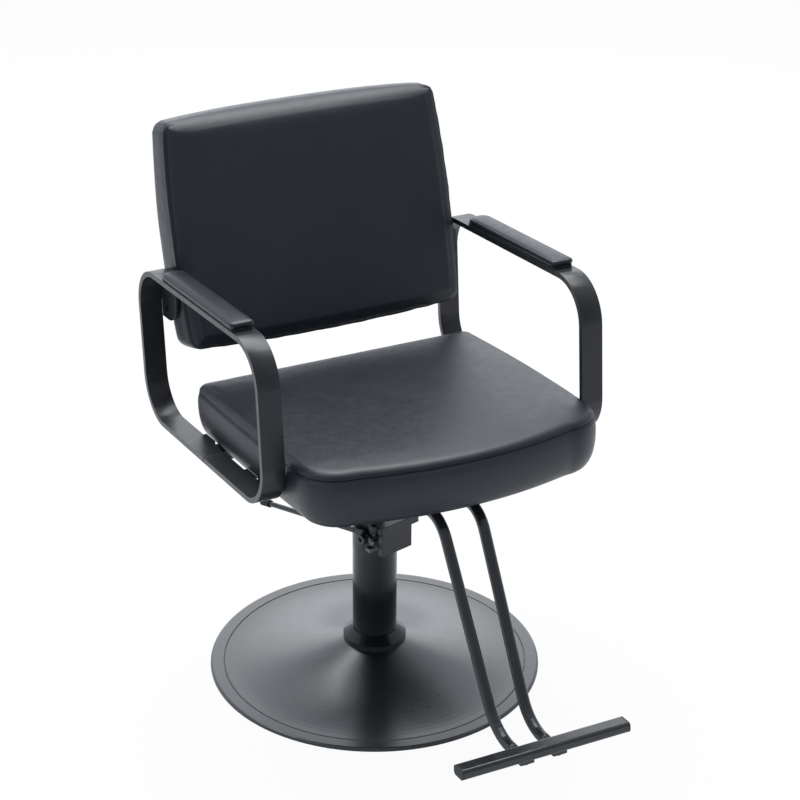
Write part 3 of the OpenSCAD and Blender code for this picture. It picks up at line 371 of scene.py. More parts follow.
class Pad:
    """A padded form over a rounded outline: a side profile, a crowned top and a pocket or flat below.

    The profile's knots are (inset, height), from the low edge over the seam to the top, and seam is the
    seam's knot. crown gives the height to add at a place, in full from the length blend above the seam.
    pocket holds the (inset, height) rings below the edge."""

    def __init__(self, name, shape, nx, ny, knots, seam, crown, pocket, matrix, pinches=(), blend=0.02):
        self.name, self.nx, self.ny, self.crown, self.pocket = name, nx, ny, crown, pocket
        self.matrix, self.blend = matrix, blend
        self.points, self.normals = sample_outline(shape, nx, ny, pinches)
        self.curve = smooth_curve(knots, CURVE_STEPS)
        self.run = lengths(self.curve)
        self.seam = self.run[seam * CURVE_STEPS]
        above = self.run[-1] - self.seam
        low = np.linspace(0, self.seam, max(2, round(self.seam / RING_STEP)) + 1)
        high = np.linspace(self.seam, self.run[-1], max(2, round(above / RING_STEP)) + 1)
        self.coarse = np.concatenate([low, high[1:]])
        noise = RANDOM.normal(0, 1, len(self.points))
        self.noise = (noise + np.roll(noise, 1) + np.roll(noise, -1)) / NOISE_SPREAD

    def profile(self, at):
        """Inset and height at a run along the profile."""
        return np.interp(at, self.run, self.curve[:, 0]), np.interp(at, self.run, self.curve[:, 1])

    def facing(self, at):
        """Outward unit vectors of the ring at a run along the profile."""
        a = np.array(self.profile(at - FACING_STEP))
        b = np.array(self.profile(at + FACING_STEP))
        inward, up = (b - a) / max(1e-9, np.linalg.norm(b - a))
        return np.concatenate([self.normals * up, np.full((len(self.normals), 1), inward)], axis=1)

    def flat_ring(self, inset, z):
        """The outline moved in and set at one height."""
        plan = self.points - self.normals * inset
        return np.concatenate([plan, np.full((len(plan), 1), z)], axis=1)

    def ring(self, at):
        """The ring at a run along the profile, with the crown above the seam."""
        inset, z = self.profile(at)
        ring = self.flat_ring(inset, z)
        if at > self.seam:
            ring[:, 2] += self.crown(ring[:, 0], ring[:, 1]) * ease((at - self.seam) / self.blend)
        return ring

    def patches(self, rings):
        """The interior points of the lowest and the highest ring."""
        low = coons(rings[0][:, :2], self.nx, self.ny)
        low = np.concatenate([low, np.full(low.shape[:2] + (1,), rings[0][0, 2])], axis=2)
        high = coons(rings[-1][:, :2], self.nx, self.ny)
        z = self.curve[-1, 1] + self.crown(high[..., 0], high[..., 1])
        return low, np.concatenate([high, z[..., None]], axis=2)

    def puff(self, caps, sewn):
        """Blows the form up as cloth, its sewn seam, edge and pocket held.
"""
        rings = [self.flat_ring(*row) for row in self.pocket] + [self.ring(at) for at in self.coarse]
        low, high = self.patches(rings)
        n, first = len(self.points), len(self.pocket)
        low_start = len(rings) * n
        high_start = low_start + low.shape[0] * low.shape[1]
        seam_ring = first + int(np.argmin(np.abs(self.coarse - self.seam)))
        held = list(range((first + 2) * n))
        held += [seam_ring * n + i for i in range(n) if sewn[i] > 0.5]
        held += list(range(low_start, high_start))
        moved = blow_up(ring_mesh(self.name + "_cloth", rings, low, high, self.nx, self.ny), held)
        size = np.linalg.norm(moved, axis=1)[:, None]
        cap = np.full(size.shape, caps[1])
        cap[:seam_ring * n] = caps[0]
        moved *= cap / (cap + size)
        rings_moved = moved[first * n:low_start].reshape(len(self.coarse), n, 3)
        return self.calm(rings_moved, moved[high_start:].reshape(high.shape))

    def calm(self, rings_moved, top_moved):
        """Smooths the movement along the rings and over the top patch, so that no small folds stay."""
        for _ in range(CALM_TURNS):
            beside = np.roll(rings_moved, 1, axis=1) + np.roll(rings_moved, -1, axis=1)
            rings_moved = (1 - 2 * CALM_RING) * rings_moved + CALM_RING * beside
        nx, ny = self.nx, self.ny
        grid = np.zeros((ny + 1, nx + 1, 3))
        edge = rings_moved[-1]
        grid[1:-1, 1:-1] = top_moved
        grid[0], grid[:, -1] = edge[:nx + 1], edge[nx:nx + ny + 1]
        grid[-1] = edge[nx + ny:2 * nx + ny + 1][::-1]
        grid[:, 0] = np.concatenate([edge[2 * nx + ny:], edge[:1]])[::-1]
        for _ in range(CALM_TURNS):
            around = grid[:-2, 1:-1] + grid[2:, 1:-1] + grid[1:-1, :-2] + grid[1:-1, 2:]
            grid[1:-1, 1:-1] = (1 - 4 * CALM_TOP) * grid[1:-1, 1:-1] + CALM_TOP * around
        return rings_moved, grid[1:-1, 1:-1]

    def build(self, caps, sewn, relief=1.0, creases=(), shape_top=None):
        """The finished mesh.

        sewn is each column's share of the seam relief, and creases are columns with a crease across the
        side. shape_top can move points before the seams are worked in."""
        rings_moved, top_moved = self.puff(caps, sewn)
        rings = [self.flat_ring(*row) for row in self.pocket]
        self.spots = self.fine_spots()
        self.rows = []
        for at in self.spots:
            ring = self.ring(at)
            for c in range(3):
                ring[:, c] += [np.interp(at, self.coarse, column) for column in rings_moved[:, :, c].T]
            if shape_top:
                ring = shape_top(ring)
            ring += self.facing(at) * self.seam_lift(at, sewn, relief, creases)[:, None]
            self.rows.append(ring)
        low, high = self.patches([rings[0], self.ring(self.run[-1])])
        high = high + top_moved
        if shape_top:
            high = shape_top(high.reshape(-1, 3)).reshape(high.shape)
        obj = ring_mesh(self.name, rings + self.rows, low, high, self.nx, self.ny)
        obj.data.transform(self.matrix)
        return obj

    def fine_spots(self):
        """Where the finished rings lie along the profile: the coarse rings, and near the seam only the
        seam's own."""
        near = 1e-5
        spots = np.concatenate([self.coarse, self.seam + np.array(SEAM_RINGS)])
        return np.array([at for at in np.unique(np.round(spots, 5))
                         if abs(at - self.seam) >= SEAM_REACH
                         or any(abs(at - self.seam - away) < near for away in SEAM_RINGS)])

    def seam_lift(self, at, sewn, relief, creases):
        """How far each column stands out at a run along the profile, by the seam's relief and puckers
        and by the creases."""
        away = at - self.seam
        lift = np.interp(away, SEAM_RINGS, SEAM_RELIEF, left=0, right=0) * relief * sewn
        lift = lift + PUCKER * self.noise * sewn * math.exp(-abs(away) / PUCKER_REACH) * relief
        if CREASE_START < at < self.seam:
            lift[list(creases)] -= CREASE_DEEP
        return lift

    def row(self, away):
        """The finished ring at a distance from the seam, and its outward directions."""
        k = int(np.argmin(np.abs(self.spots - self.seam - away)))
        return self.rows[k], self.facing(self.spots[k])


# Stitches

STITCH_PITCH = 0.0052
STITCH_LEN = 0.0036
STITCH_R = 0.00045
STITCH_SIDES = 6
STITCH_SINK = 0.00015
# Where each stitch starts in its pitch, as a share
STITCH_START = 0.2
# A stitch's thickness along it, as (share of the length, share of the radius)
STITCH_FORM = ((0, 0.25), (0.18, 0.9), (0.5, 1.15), (0.82, 0.9), (1, 0.25))


def sew(path, outward):
    """Vertices and faces of stitches along an open path with its outward directions."""
    run = lengths(path)
    count = int(run[-1] / STITCH_PITCH)
    verts, faces = [], []
    for i in range(count):
        start = (i + STITCH_START) * STITCH_PITCH
        a, b = (np.array([np.interp(at, run, path[:, c]) for c in range(3)])
                for at in (start, start + STITCH_LEN))
        out = np.array([np.interp(start, run, outward[:, c]) for c in range(3)])
        along = (b - a) / np.linalg.norm(b - a)
        across = np.cross(along, out)
        across /= np.linalg.norm(across)
        out = np.cross(across, along)
        base = len(verts)
        for share, thick in STITCH_FORM:
            mid = a + share * (b - a) + out * (STITCH_R * thick - STITCH_SINK - STITCH_R * 0.5)
            for k in range(STITCH_SIDES):
                turn = 2 * math.pi * k / STITCH_SIDES
                verts.append(mid + STITCH_R * thick * (math.cos(turn) * across + math.sin(turn) * out))
        faces += rod_faces(len(STITCH_FORM), STITCH_SIDES, base)
    return verts, faces


def stitches(name, paths, matrix):
    """One object with the stitches of several paths."""
    obj = add_mesh(name, *joined(sew(path, outward) for path, outward in paths))
    obj.data.transform(matrix)
    return obj


# Seat cushion

SEAT_NX, SEAT_NY = 72, 70
SEAT_KNOTS = [(0.0350, 0.456), (0.0215, 0.4600), (0.0128, 0.4680), (0.0056, 0.4820), (0.0016, 0.4990),
              (0.0000, 0.5160), (0.0002, 0.5330), (0.0026, 0.5430), (0.0042, 0.5470), (0.0034, 0.5500),
              (0.0040, 0.5545), (0.0075, 0.5582), (0.0140, 0.5599), (0.0225, 0.5603)]
SEAT_SEAM_KNOT = 8
SEAT_RISE = 0.0045
# How far the cloth may move at the side and on the top
SEAT_CAPS = (0.0016, 0.0030)


def seat_crown(x, y):
    """The top is highest half way back, all across, so that its side edges rise there too."""
    mid = (SEAT_FRONT + SEAT_REAR) / 2
    half_y = (SEAT_REAR - SEAT_FRONT) / 2 + SEAT_BOW / 2
    return SEAT_RISE * swell((y - mid) / half_y, power=2)


def seat_cushion():
    """The seat's upholstery, and its stitches along both sides of the top seam."""
    shape = (SEAT_HALF, SEAT_FRONT, SEAT_REAR, SEAT_FRONT_R, SEAT_REAR_R, (SEAT_SIDE_BOW, 0, SEAT_BOW))
    pocket = [(BOARD_IN, SEAT_LOW + BOARD_T + BOARD_GAP), (BOARD_IN, SEAT_LOW)]
    pad = Pad("seat_upholstery", shape, SEAT_NX, SEAT_NY, SEAT_KNOTS, SEAT_SEAM_KNOT, seat_crown,
              pocket, tilted())
    obj = pad.build(SEAT_CAPS, np.ones(len(pad.points)))
    paths = []
    for away in (-STITCH_ROW, STITCH_ROW):
        row, out = pad.row(away)
        paths.append((np.concatenate([row, row[:1]]), np.concatenate([out, out[:1]])))
    return obj, stitches("seat_stitches", paths, tilted())


# Back cushion

BACK_NX, BACK_NY = 72, 56
BACK_KNOTS = [(0.0040, 0), (0.0010, 0.0040), (0.0000, 0.0180), (0.0000, 0.0350), (0.0002, 0.0540),
              (0.0014, 0.0655), (0.0030, 0.0705), (0.0042, 0.0735), (0.0075, 0.0775), (0.0130, 0.0803),
              (0.0175, 0.0813), (0.0215, 0.0816)]
BACK_SEAM_KNOT = 6
BACK_RISE = 0.0010
BACK_CAPS = (0.0008, 0.0030)
# The roll along the top front edge: its radius, how softly it starts, the length that it fades out over
# at the sides, and the share of the cloth's movement that its front plane allows for
BACK_ROLL_R = 0.055
BACK_ROLL_SOFT = 0.002
BACK_ROLL_END = 0.035
BACK_ROLL_PUFF = 0.8
# How far the sides' rear edges are drawn in at the top, how far the sides flare at the bottom, and the
# share of the height that the flare reaches up to
BACK_TUCK = 0.003
BACK_FLARE = 0.004
BACK_FLARE_TO = 0.5
# Where the outer part of a width or height starts, and how long it grows, as shares of it
OUTER_FROM = 0.5
OUTER_LEN = 0.45
# The seam's relief as a multiple of the seat's, and the columns that it fades over at the upper corners
BACK_RELIEF = 1.4
BACK_SEAM_FADE = 3
# Where the stitches across a side panel start on the profile, and how far they stand off it
BACK_STITCH_FROM = 0.012
BACK_STITCH_LIFT = 0.0002
# Height of the cross seam of each side panel, and its column in the grid
BACK_JOINT_Y = 0.128
BACK_JOINT = round(BACK_NY * BACK_JOINT_Y / BACK_H)


def back_crown(x, y):
    """The front panel is highest in its middle."""
    return BACK_RISE * swell(x / BACK_HALF) * swell((y - BACK_H / 2) / (BACK_H / 2))


def shape_back(points):
    """Rounds the top front edge, where the front panel wraps over without a seam, draws the rear of the
    side panels in towards the top and lets the sides flare at the bottom."""
    out = points.copy()
    share = ease((BACK_HALF + BACK_BOW - np.abs(points[:, 0])) / BACK_ROLL_END)
    front = BACK_KNOTS[-1][1] + BACK_RISE + BACK_ROLL_PUFF * BACK_CAPS[1]
    up = np.maximum(0, BACK_ROLL_R - (BACK_H + BACK_BOW - points[:, 1]))
    forward = np.maximum(0, BACK_ROLL_R - (front - points[:, 2]))
    far = np.maximum(np.hypot(up, forward), 1e-6)
    near = -BACK_ROLL_SOFT * np.logaddexp(-far / BACK_ROLL_SOFT, -BACK_ROLL_R / BACK_ROLL_SOFT)
    out[:, 1] -= share * up * (1 - near / far)
    out[:, 2] -= share * forward * (1 - near / far)
    high = outer_share(points[:, 1] / BACK_H)
    low = 1 - ease(points[:, 1] / BACK_H / BACK_FLARE_TO)
    rear = 1 - ease(points[:, 2] / BACK_DEEP)
    aside = np.sign(points[:, 0]) * outer_share(np.abs(points[:, 0]) / BACK_HALF)
    out[:, 0] += aside * (BACK_FLARE * low - BACK_TUCK * high * rear)
    return out


def outer_share(share):
    """Grows from 0 half way out to 1 near the edge."""
    return ease((share - OUTER_FROM) / OUTER_LEN)


def back_cushion():
    """The back's upholstery and stitches.

    Its seam runs up the front edge of both side panels and under the front panel, and turns rearward
    over the top end of each side panel."""
    shape = (BACK_HALF, BACK_LOW, BACK_H, BACK_LOW_R, BACK_HIGH_R, (BACK_BOW, BACK_BOW, BACK_LOW_BOW))
    pocket = [(BACK_BOARD_IN, BACK_BOARD_T + BOARD_GAP), (BACK_BOARD_IN, 0)]
    nx, ny = BACK_NX, BACK_NY
    # The side panels' cross seams, and both sides of each upper corner
    pinches = [(1, BACK_JOINT), (3, ny - BACK_JOINT), (1, ny), (2, 0), (2, nx), (3, 0)]
    pad = Pad("back_upholstery", shape, nx, ny, BACK_KNOTS, BACK_SEAM_KNOT, back_crown, pocket, lying(),
              pinches)
    count = len(pad.points)
    column = np.arange(count)
    corners = (nx + ny, 2 * nx + ny)
    after, before = (column - corners[0]) / BACK_SEAM_FADE, (corners[1] - column) / BACK_SEAM_FADE
    sewn = 1 - ease(after) * ease(before)
    joints = (nx + BACK_JOINT, 2 * nx + ny + ny - BACK_JOINT)
    obj = pad.build(BACK_CAPS, sewn, BACK_RELIEF, corners + joints, shape_back)
    paths = []
    order = np.arange(corners[1], corners[0] + count + 1) % count
    for away in (-STITCH_ROW, STITCH_ROW):
        row, out = pad.row(away)
        paths.append((row[order], out[order]))
    for corner in corners:
        for side in (-1, 1):
            paths.append(across_side(pad, corner, side * STITCH_ROW))
    return obj, stitches("back_stitches", paths, lying())


def across_side(pad, column, beside):
    """A path across the side panel beside a column, from near the rear edge to the seam."""
    n = len(pad.points)
    path, out = [], []
    for row, at in zip(pad.rows, pad.spots):
        if BACK_STITCH_FROM < at < pad.seam - STITCH_ROW:
            along = row[(column + 1) % n] - row[(column - 1) % n]
            along /= np.linalg.norm(along)
            outward = pad.facing(at)[column]
            path.append(row[column] + along * beside + outward * BACK_STITCH_LIFT)
            out.append(outward)
    return np.array(path), np.array(out)


# Arm pads

PAD_NX, PAD_NY = 14, 96
PAD_KNOTS = [(0.0012, 0), (0.0002, 0.0016), (0, 0.0040), (0.0002, 0.0068), (0.0014, 0.0090),
             (0.0038, 0.0098), (0.0070, 0.0102)]
PAD_SEAM_KNOT = 4
PAD_CAPS = (0.0006, 0.0014)
PAD_UNDER_IN = 0.003
# The lower edge between its staples: depth, pitch and height of the scallops, and their unevenness
PAD_SCALLOP = 0.0007
PAD_SCALLOP_PITCH = 0.031
PAD_SCALLOP_H = 0.005
PAD_UNEVEN = 0.0003
# The fold at each front corner: its depth, and its reach rearward and across
PAD_FOLD = 0.0009
PAD_FOLD_LEN = 0.006
PAD_FOLD_W = 0.003


def arm_pad(side):
    """One arm pad's vinyl cover, with folded front corners and a lower edge drawn in by its staples."""
    shape = (PAD_HALF, PAD_FRONT, PAD_REAR, PAD_FRONT_R, PAD_REAR_R, (0, 0, 0))
    mid, half = (PAD_FRONT + PAD_REAR) / 2, (PAD_REAR - PAD_FRONT) / 2
    low_z = LOOP_TOP_Z + PAD_BASE_T

    def crown(x, y):
        return PAD_CROWN * swell(x / PAD_HALF, power=2.2) * swell((y - mid) / half, power=8)

    name = "arm_pad_cover_" + ("left" if side < 0 else "right")
    knots = [(inset, low_z + z) for inset, z in PAD_KNOTS]
    pad = Pad(name, shape, PAD_NX, PAD_NY, knots, PAD_SEAM_KNOT, crown, [(PAD_UNDER_IN, low_z)],
              tilted() @ Matrix.Translation((side * LOOP_MID_X, 0, 0)), blend=0.005)
    drawn = pad.points[:, 1] * 2 * math.pi / PAD_SCALLOP_PITCH + side
    scallop = PAD_SCALLOP * (0.5 + 0.5 * np.sin(drawn)) + PAD_UNEVEN * np.abs(pad.noise)

    def fold(points):
        """Works the scallops and the corner folds into a ring, and leaves the top patch as it is."""
        if len(points) != len(scallop):
            return points
        out = points.copy()
        low = ease((low_z + PAD_SCALLOP_H - points[:, 2]) / PAD_SCALLOP_H)
        out[:, :2] -= pad.normals * (scallop * low)[:, None]
        corner = np.exp(-((points[:, 1] - PAD_FRONT) / PAD_FOLD_LEN) ** 2)
        corner *= np.exp(-((np.abs(points[:, 0]) - PAD_HALF + PAD_FOLD_W) / PAD_FOLD_W) ** 2)
        out[:, :2] -= pad.normals * (PAD_FOLD * corner)[:, None]
        return out

    return pad.build(PAD_CAPS, np.zeros(len(pad.points)), shape_top=fold)


# Weld beads

BEAD_SIDES = 10
# The lumps along a bead: their pitch, the rings in each, and their height and the thickness at a bead's
# ends as shares of its radius
BEAD_RIPPLE = 0.0016
BEAD_STEPS = 3
BEAD_LUMP = 0.12
BEAD_END = 0.3
# Any direction that no bead runs along
BEAD_ASIDE = (0.3, 0.2, 1)

LOOP_JOINT_Y = 0.018
LOOP_BEAD_R = 0.0022
LOOP_BEAD_SINK = 0.0014


def bead(path, radius):
    """Vertices and faces of a lumpy weld bead along an open path of points."""
    path = np.array(path, dtype=float)
    run = lengths(path)
    count = max(4, int(run[-1] / (BEAD_RIPPLE / BEAD_STEPS)))
    at = np.linspace(0, run[-1], count)
    mid = np.stack([np.interp(at, run, path[:, c]) for c in range(3)], axis=1)
    ahead = np.gradient(mid, axis=0)
    ahead /= np.linalg.norm(ahead, axis=1)[:, None]
    aside = np.cross(ahead, BEAD_ASIDE)
    aside /= np.linalg.norm(aside, axis=1)[:, None]
    up = np.cross(aside, ahead)
    thick = radius * (1 + BEAD_LUMP * np.sin(at * 2 * math.pi / BEAD_RIPPLE))
    thick[0] = thick[-1] = radius * BEAD_END
    verts = []
    for i in range(count):
        for k in range(BEAD_SIDES):
            turn = 2 * math.pi * k / BEAD_SIDES
            verts.append(mid[i] + thick[i] * (math.cos(turn) * aside[i] + math.sin(turn) * up[i]))
    return verts, rod_faces(count, BEAD_SIDES)


def loop_beads():
    """The butt weld across each arm loop's lower bar, dressed almost flush."""
    inner = LOOP_MID_X - LOOP_HALF_W
    outer = LOOP_MID_X + LOOP_HALF_W - LOOP_BEAD_SINK
    top = LOOP_LOW_Z + LOOP_BAR_T - LOOP_BEAD_SINK
    low = LOOP_LOW_Z + LOOP_BEAD_SINK
    beads = []
    for side in (-1, 1):
        path = [(side * inner, LOOP_JOINT_Y, top), (side * outer, LOOP_JOINT_Y, top),
                (side * outer, LOOP_JOINT_Y, low)]
        beads.append(bead(path, LOOP_BEAD_R))
    obj = add_mesh("loop_welds", *joined(beads))
    obj.data.transform(tilted())
    return obj


# Materials

# How rough each noise is, and the part of it that a colour and a roughness run over
NOISE_ROUGH = 0.55
COLOUR_RANGE = (0.35, 0.65)
ROUGH_RANGE = (0.3, 0.7)


class Shade:
    """A node material with a Principled shader, built up link by link."""

    def __init__(self, name, rough, spec=0.5, metal=0.0):
        self.mat = bpy.data.materials.new(name)
        self.mat.use_nodes = True
        self.nodes = self.mat.node_tree.nodes
        self.links = self.mat.node_tree.links
        self.shader = self.nodes["Principled BSDF"]
        self.shader.inputs["Roughness"].default_value = rough
        self.shader.inputs["Metallic"].default_value = metal
        self.shader.inputs["Specular IOR Level"].default_value = spec
        self.place = self.nodes.new("ShaderNodeTexCoord").outputs["Object"]
        self.bump_from = None

    def noise(self, scale, detail):
        """A cloudy noise with about scale clouds to a metre."""
        node = self.nodes.new("ShaderNodeTexNoise")
        node.inputs["Scale"].default_value = scale
        node.inputs["Detail"].default_value = detail
        node.inputs["Roughness"].default_value = NOISE_ROUGH
        self.links.new(self.place, node.inputs["Vector"])
        return node.outputs["Fac"]

    def cells(self, scale):
        """A grain of small cells, about scale of them to a metre."""
        node = self.nodes.new("ShaderNodeTexVoronoi")
        node.inputs["Scale"].default_value = scale
        self.links.new(self.place, node.inputs["Vector"])
        return node.outputs["Distance"]

    def colour(self, value, dark, light):
        """Lets the base colour follow a value."""
        ramp = self.nodes.new("ShaderNodeValToRGB")
        for stop, at, colour in zip(ramp.color_ramp.elements, COLOUR_RANGE, (dark, light)):
            stop.position = at
            stop.color = (*colour, 1)
        self.links.new(value, ramp.inputs["Fac"])
        self.links.new(ramp.outputs["Color"], self.shader.inputs["Base Color"])

    def roughness(self, value, low, high):
        """Lets the roughness follow a value."""
        node = self.nodes.new("ShaderNodeMapRange")
        node.inputs["From Min"].default_value = ROUGH_RANGE[0]
        node.inputs["From Max"].default_value = ROUGH_RANGE[1]
        node.inputs["To Min"].default_value = low
        node.inputs["To Max"].default_value = high
        self.links.new(value, node.inputs["Value"])
        self.links.new(node.outputs["Result"], self.shader.inputs["Roughness"])

    def bump(self, value, depth, strength=1.0):
        """Adds relief; depth is the height in metres that a change of 1 in value stands for."""
        node = self.nodes.new("ShaderNodeBump")
        node.inputs["Strength"].default_value = strength
        node.inputs["Distance"].default_value = depth
        self.links.new(value, node.inputs["Height"])
        if self.bump_from is not None:
            self.links.new(self.bump_from, node.inputs["Normal"])
        self.bump_from = node.outputs["Normal"]
        self.links.new(self.bump_from, self.shader.inputs["Normal"])


def vinyl():
    """The upholstery's satin vinyl, with its grain and a slow waviness."""
    s = Shade("vinyl", 0.4)
    s.colour(s.noise(9, 3), (0.0078, 0.0104, 0.0152), (0.0106, 0.0142, 0.0206))
    s.roughness(s.noise(60, 5), 0.36, 0.44)
    s.bump(s.noise(14, 2), 0.0010, 0.5)
    s.bump(s.cells(1100), 0.00010)
    s.bump(s.noise(2600, 3), 0.00004)
    return s.mat


def thread():
    """The stitches' thread."""
    s = Shade("thread", 0.7)
    s.colour(s.noise(300, 3), (0.012, 0.013, 0.015), (0.03, 0.032, 0.036))
    s.bump(s.noise(4000, 2), 0.00008)
    return s.mat


def satin_steel():
    """The satin powder coat of the frame and the pump head."""
    s = Shade("satin_black_coat", 0.4)
    s.colour(s.noise(16, 4), (0.011, 0.0125, 0.014), (0.016, 0.0175, 0.0195))
    s.roughness(s.noise(45, 5), 0.29, 0.38)
    s.bump(s.noise(900, 3), 0.00006)
    return s.mat


def tube_steel():
    """The footrest's coat, glossier than the frame's."""
    s = Shade("glossy_black_coat", 0.24, spec=0.6)
    s.colour(s.noise(16, 4), (0.012, 0.0135, 0.0155), (0.017, 0.019, 0.0215))
    s.roughness(s.noise(45, 5), 0.2, 0.27)
    s.bump(s.noise(500, 3), 0.00003)
    return s.mat


def gloss_steel():
    """The column's gloss paint."""
    s = Shade("gloss_black_coat", 0.16)
    s.colour(s.noise(20, 3), (0.006, 0.0065, 0.0075), (0.009, 0.0095, 0.0105))
    s.roughness(s.noise(70, 5), 0.13, 0.2)
    s.bump(s.noise(350, 3), 0.00003)
    return s.mat


def disc_coat():
    """The base disc's lacquer: a soft clear coat over dark paint."""
    s = Shade("lacquered_disc", 0.3, spec=0.7)
    s.colour(s.noise(12, 3), (0.007, 0.0078, 0.009), (0.010, 0.011, 0.0125))
    s.roughness(s.noise(70, 5), 0.27, 0.34)
    s.bump(s.noise(350, 3), 0.00002)
    s.shader.inputs["Coat Weight"].default_value = 0.7
    s.shader.inputs["Coat Roughness"].default_value = 0.2
    return s.mat


def cast():
    """The ballast plate's rough iron."""
    s = Shade("cast_ballast", 0.75, metal=0.4)
    s.colour(s.noise(120, 6), (0.05, 0.05, 0.05), (0.12, 0.12, 0.12))
    s.bump(s.noise(700, 6), 0.0003)
    return s.mat


def bare_steel():
    """Machined steel."""
    s = Shade("machined_steel", 0.3, metal=1.0)
    s.colour(s.noise(200, 4), (0.42, 0.42, 0.43), (0.56, 0.56, 0.57))
    s.roughness(s.noise(500, 4), 0.24, 0.38)
    s.bump(s.noise(2200, 2), 0.00003)
    return s.mat


def dull_steel():
    """The dull steel of the lever's arm and the plunger."""
    s = Shade("dull_steel", 0.5, metal=1.0)
    s.colour(s.noise(160, 4), (0.12, 0.12, 0.125), (0.2, 0.2, 0.205))
    s.roughness(s.noise(400, 4), 0.4, 0.55)
    s.bump(s.noise(1600, 3), 0.00004)
    return s.mat


def plated():
    """The ram's ground and plated surface."""
    s = Shade("plated_ram", 0.12, metal=1.0)
    s.colour(s.noise(60, 3), (0.6, 0.61, 0.62), (0.7, 0.71, 0.72))
    s.roughness(s.noise(900, 3), 0.1, 0.16)
    return s.mat


def black_oxide():
    """The blackened bolts and screws."""
    s = Shade("black_oxide", 0.38, metal=0.7)
    s.colour(s.noise(400, 4), (0.02, 0.02, 0.022), (0.04, 0.04, 0.043))
    s.roughness(s.noise(700, 4), 0.3, 0.46)
    s.bump(s.noise(1800, 3), 0.00004)
    return s.mat


def bronze():
    s = Shade("bronze", 0.3, metal=1.0)
    s.colour(s.noise(150, 4), (0.45, 0.3, 0.14), (0.6, 0.42, 0.2))
    s.roughness(s.noise(600, 4), 0.25, 0.4)
    return s.mat


def rubber():
    """Matte rubber."""
    s = Shade("rubber", 0.8)
    s.colour(s.noise(200, 5), (0.012, 0.012, 0.012), (0.025, 0.025, 0.025))
    s.bump(s.noise(1500, 4), 0.00012)
    return s.mat


def board():
    """Plywood painted black."""
    s = Shade("covered_board", 0.85)
    s.colour(s.noise(300, 5), (0.014, 0.014, 0.015), (0.026, 0.026, 0.028))
    s.bump(s.noise(1200, 4), 0.0002)
    return s.mat


def moulded():
    """The foot bar's plastic caps."""
    s = Shade("moulded_plastic", 0.5)
    s.colour(s.noise(90, 3), (0.014, 0.015, 0.016), (0.02, 0.021, 0.023))
    s.bump(s.noise(1600, 3), 0.00008)
    return s.mat


# Nodes with a look of their own in place of their slot's
OWN_COATS = ((disc_coat, ("base_cover",)),
             (tube_steel, ("footrest_tube_left", "footrest_tube_right", "foot_bar")),
             (dull_steel, ("lever_arm", "pump_plunger")))

# Bevels on the plates and bars: radius, steps and the least angle that gets one. Before that, points
# closer than SAME_POINT become one, and so do faces within FLAT_ANGLE of each other
EDGE_R = 0.0011
EDGE_STEPS = 3
EDGE_ANGLE = math.radians(40)
FLAT_ANGLE = math.radians(1)
SAME_POINT = 0.00002
EDGED = ("arm_loop_left", "arm_loop_right", "back_bracket_left", "back_bracket_right", "head_cover",
         "head_plate", "mount_plate", "wedge_channel_left", "wedge_channel_right", "cross_bar_front",
         "cross_bar_rear", "foot_bar", "lever_hub", "lever_arm")


def dress_nodes():
    """Gives every CAD node its material and returns the materials of the record's slots."""
    made = {
        "satin_black_steel": satin_steel(), "gloss_black_steel": gloss_steel(), "cast_ballast": cast(),
        "bare_steel": bare_steel(), "plated_ram": plated(), "black_fasteners": black_oxide(),
        "bronze": bronze(), "black_rubber": rubber(), "black_vinyl": vinyl(), "black_board": board(),
        "black_plastic": moulded(),
    }
    for row in frame["record"]["subparts"]:
        obj = NODES[row["node"]]
        obj.data.materials.clear()
        obj.data.materials.append(made[row["material_slot"]])
    for make, names in OWN_COATS:
        coat = make()
        for name in names:
            NODES[name].data.materials[0] = coat
    return made


def round_edges():
    """Bevels the edges of the plates and bars."""
    for name in EDGED:
        obj = NODES[name]
        weld = obj.modifiers.new("weld", "WELD")
        weld.merge_threshold = SAME_POINT
        flat = obj.modifiers.new("flat", "DECIMATE")
        flat.decimate_type = "DISSOLVE"
        flat.angle_limit = FLAT_ANGLE
        edge = obj.modifiers.new("edge", "BEVEL")
        edge.width = EDGE_R
        edge.segments = EDGE_STEPS
        edge.limit_method = "ANGLE"
        edge.angle_limit = EDGE_ANGLE
        edge.harden_normals = True


# Camera, light and floor

# The camera's place, its axes before it is rolled about its view, its roll and its lens in millimetres
CAMERA_AT = Vector((-1.58555, -3.21867, 2.28577))
CAMERA_RIGHT = Vector((0.8917, -0.4526, 0))
CAMERA_UP = Vector((0.1991, 0.3923, 0.8980))
CAMERA_ROLL = math.radians(0.47)
CAMERA_LENS = 103.6
SENSOR_WIDTH = 36

# Softboxes: name, place, the point that it faces, size and power
LAMPS = (("top_softbox", (0.2, 0.9, 3.0), (0, 0, 0.4), (2.6, 2.0), 85),
         ("rear_softbox", (1.6, 3.2, 1.5), (0, 0, 0.2), (3.4, 1.6), 20))

# The studio's brightness in front and behind, where it changes along Y, and as the camera sees it
WORLD_FRONT = 0.42
WORLD_REAR = 0.95
WORLD_CHANGE = (-0.9, 0.8)
WORLD_SEEN = 1.2
WORLD_TINT = (0.86, 0.93, 1.03, 1)
FLOOR_SIZE = 40
FLOOR_COLOUR = (0.82, 0.82, 0.82, 1)
FLOOR_WHITE = 0.94


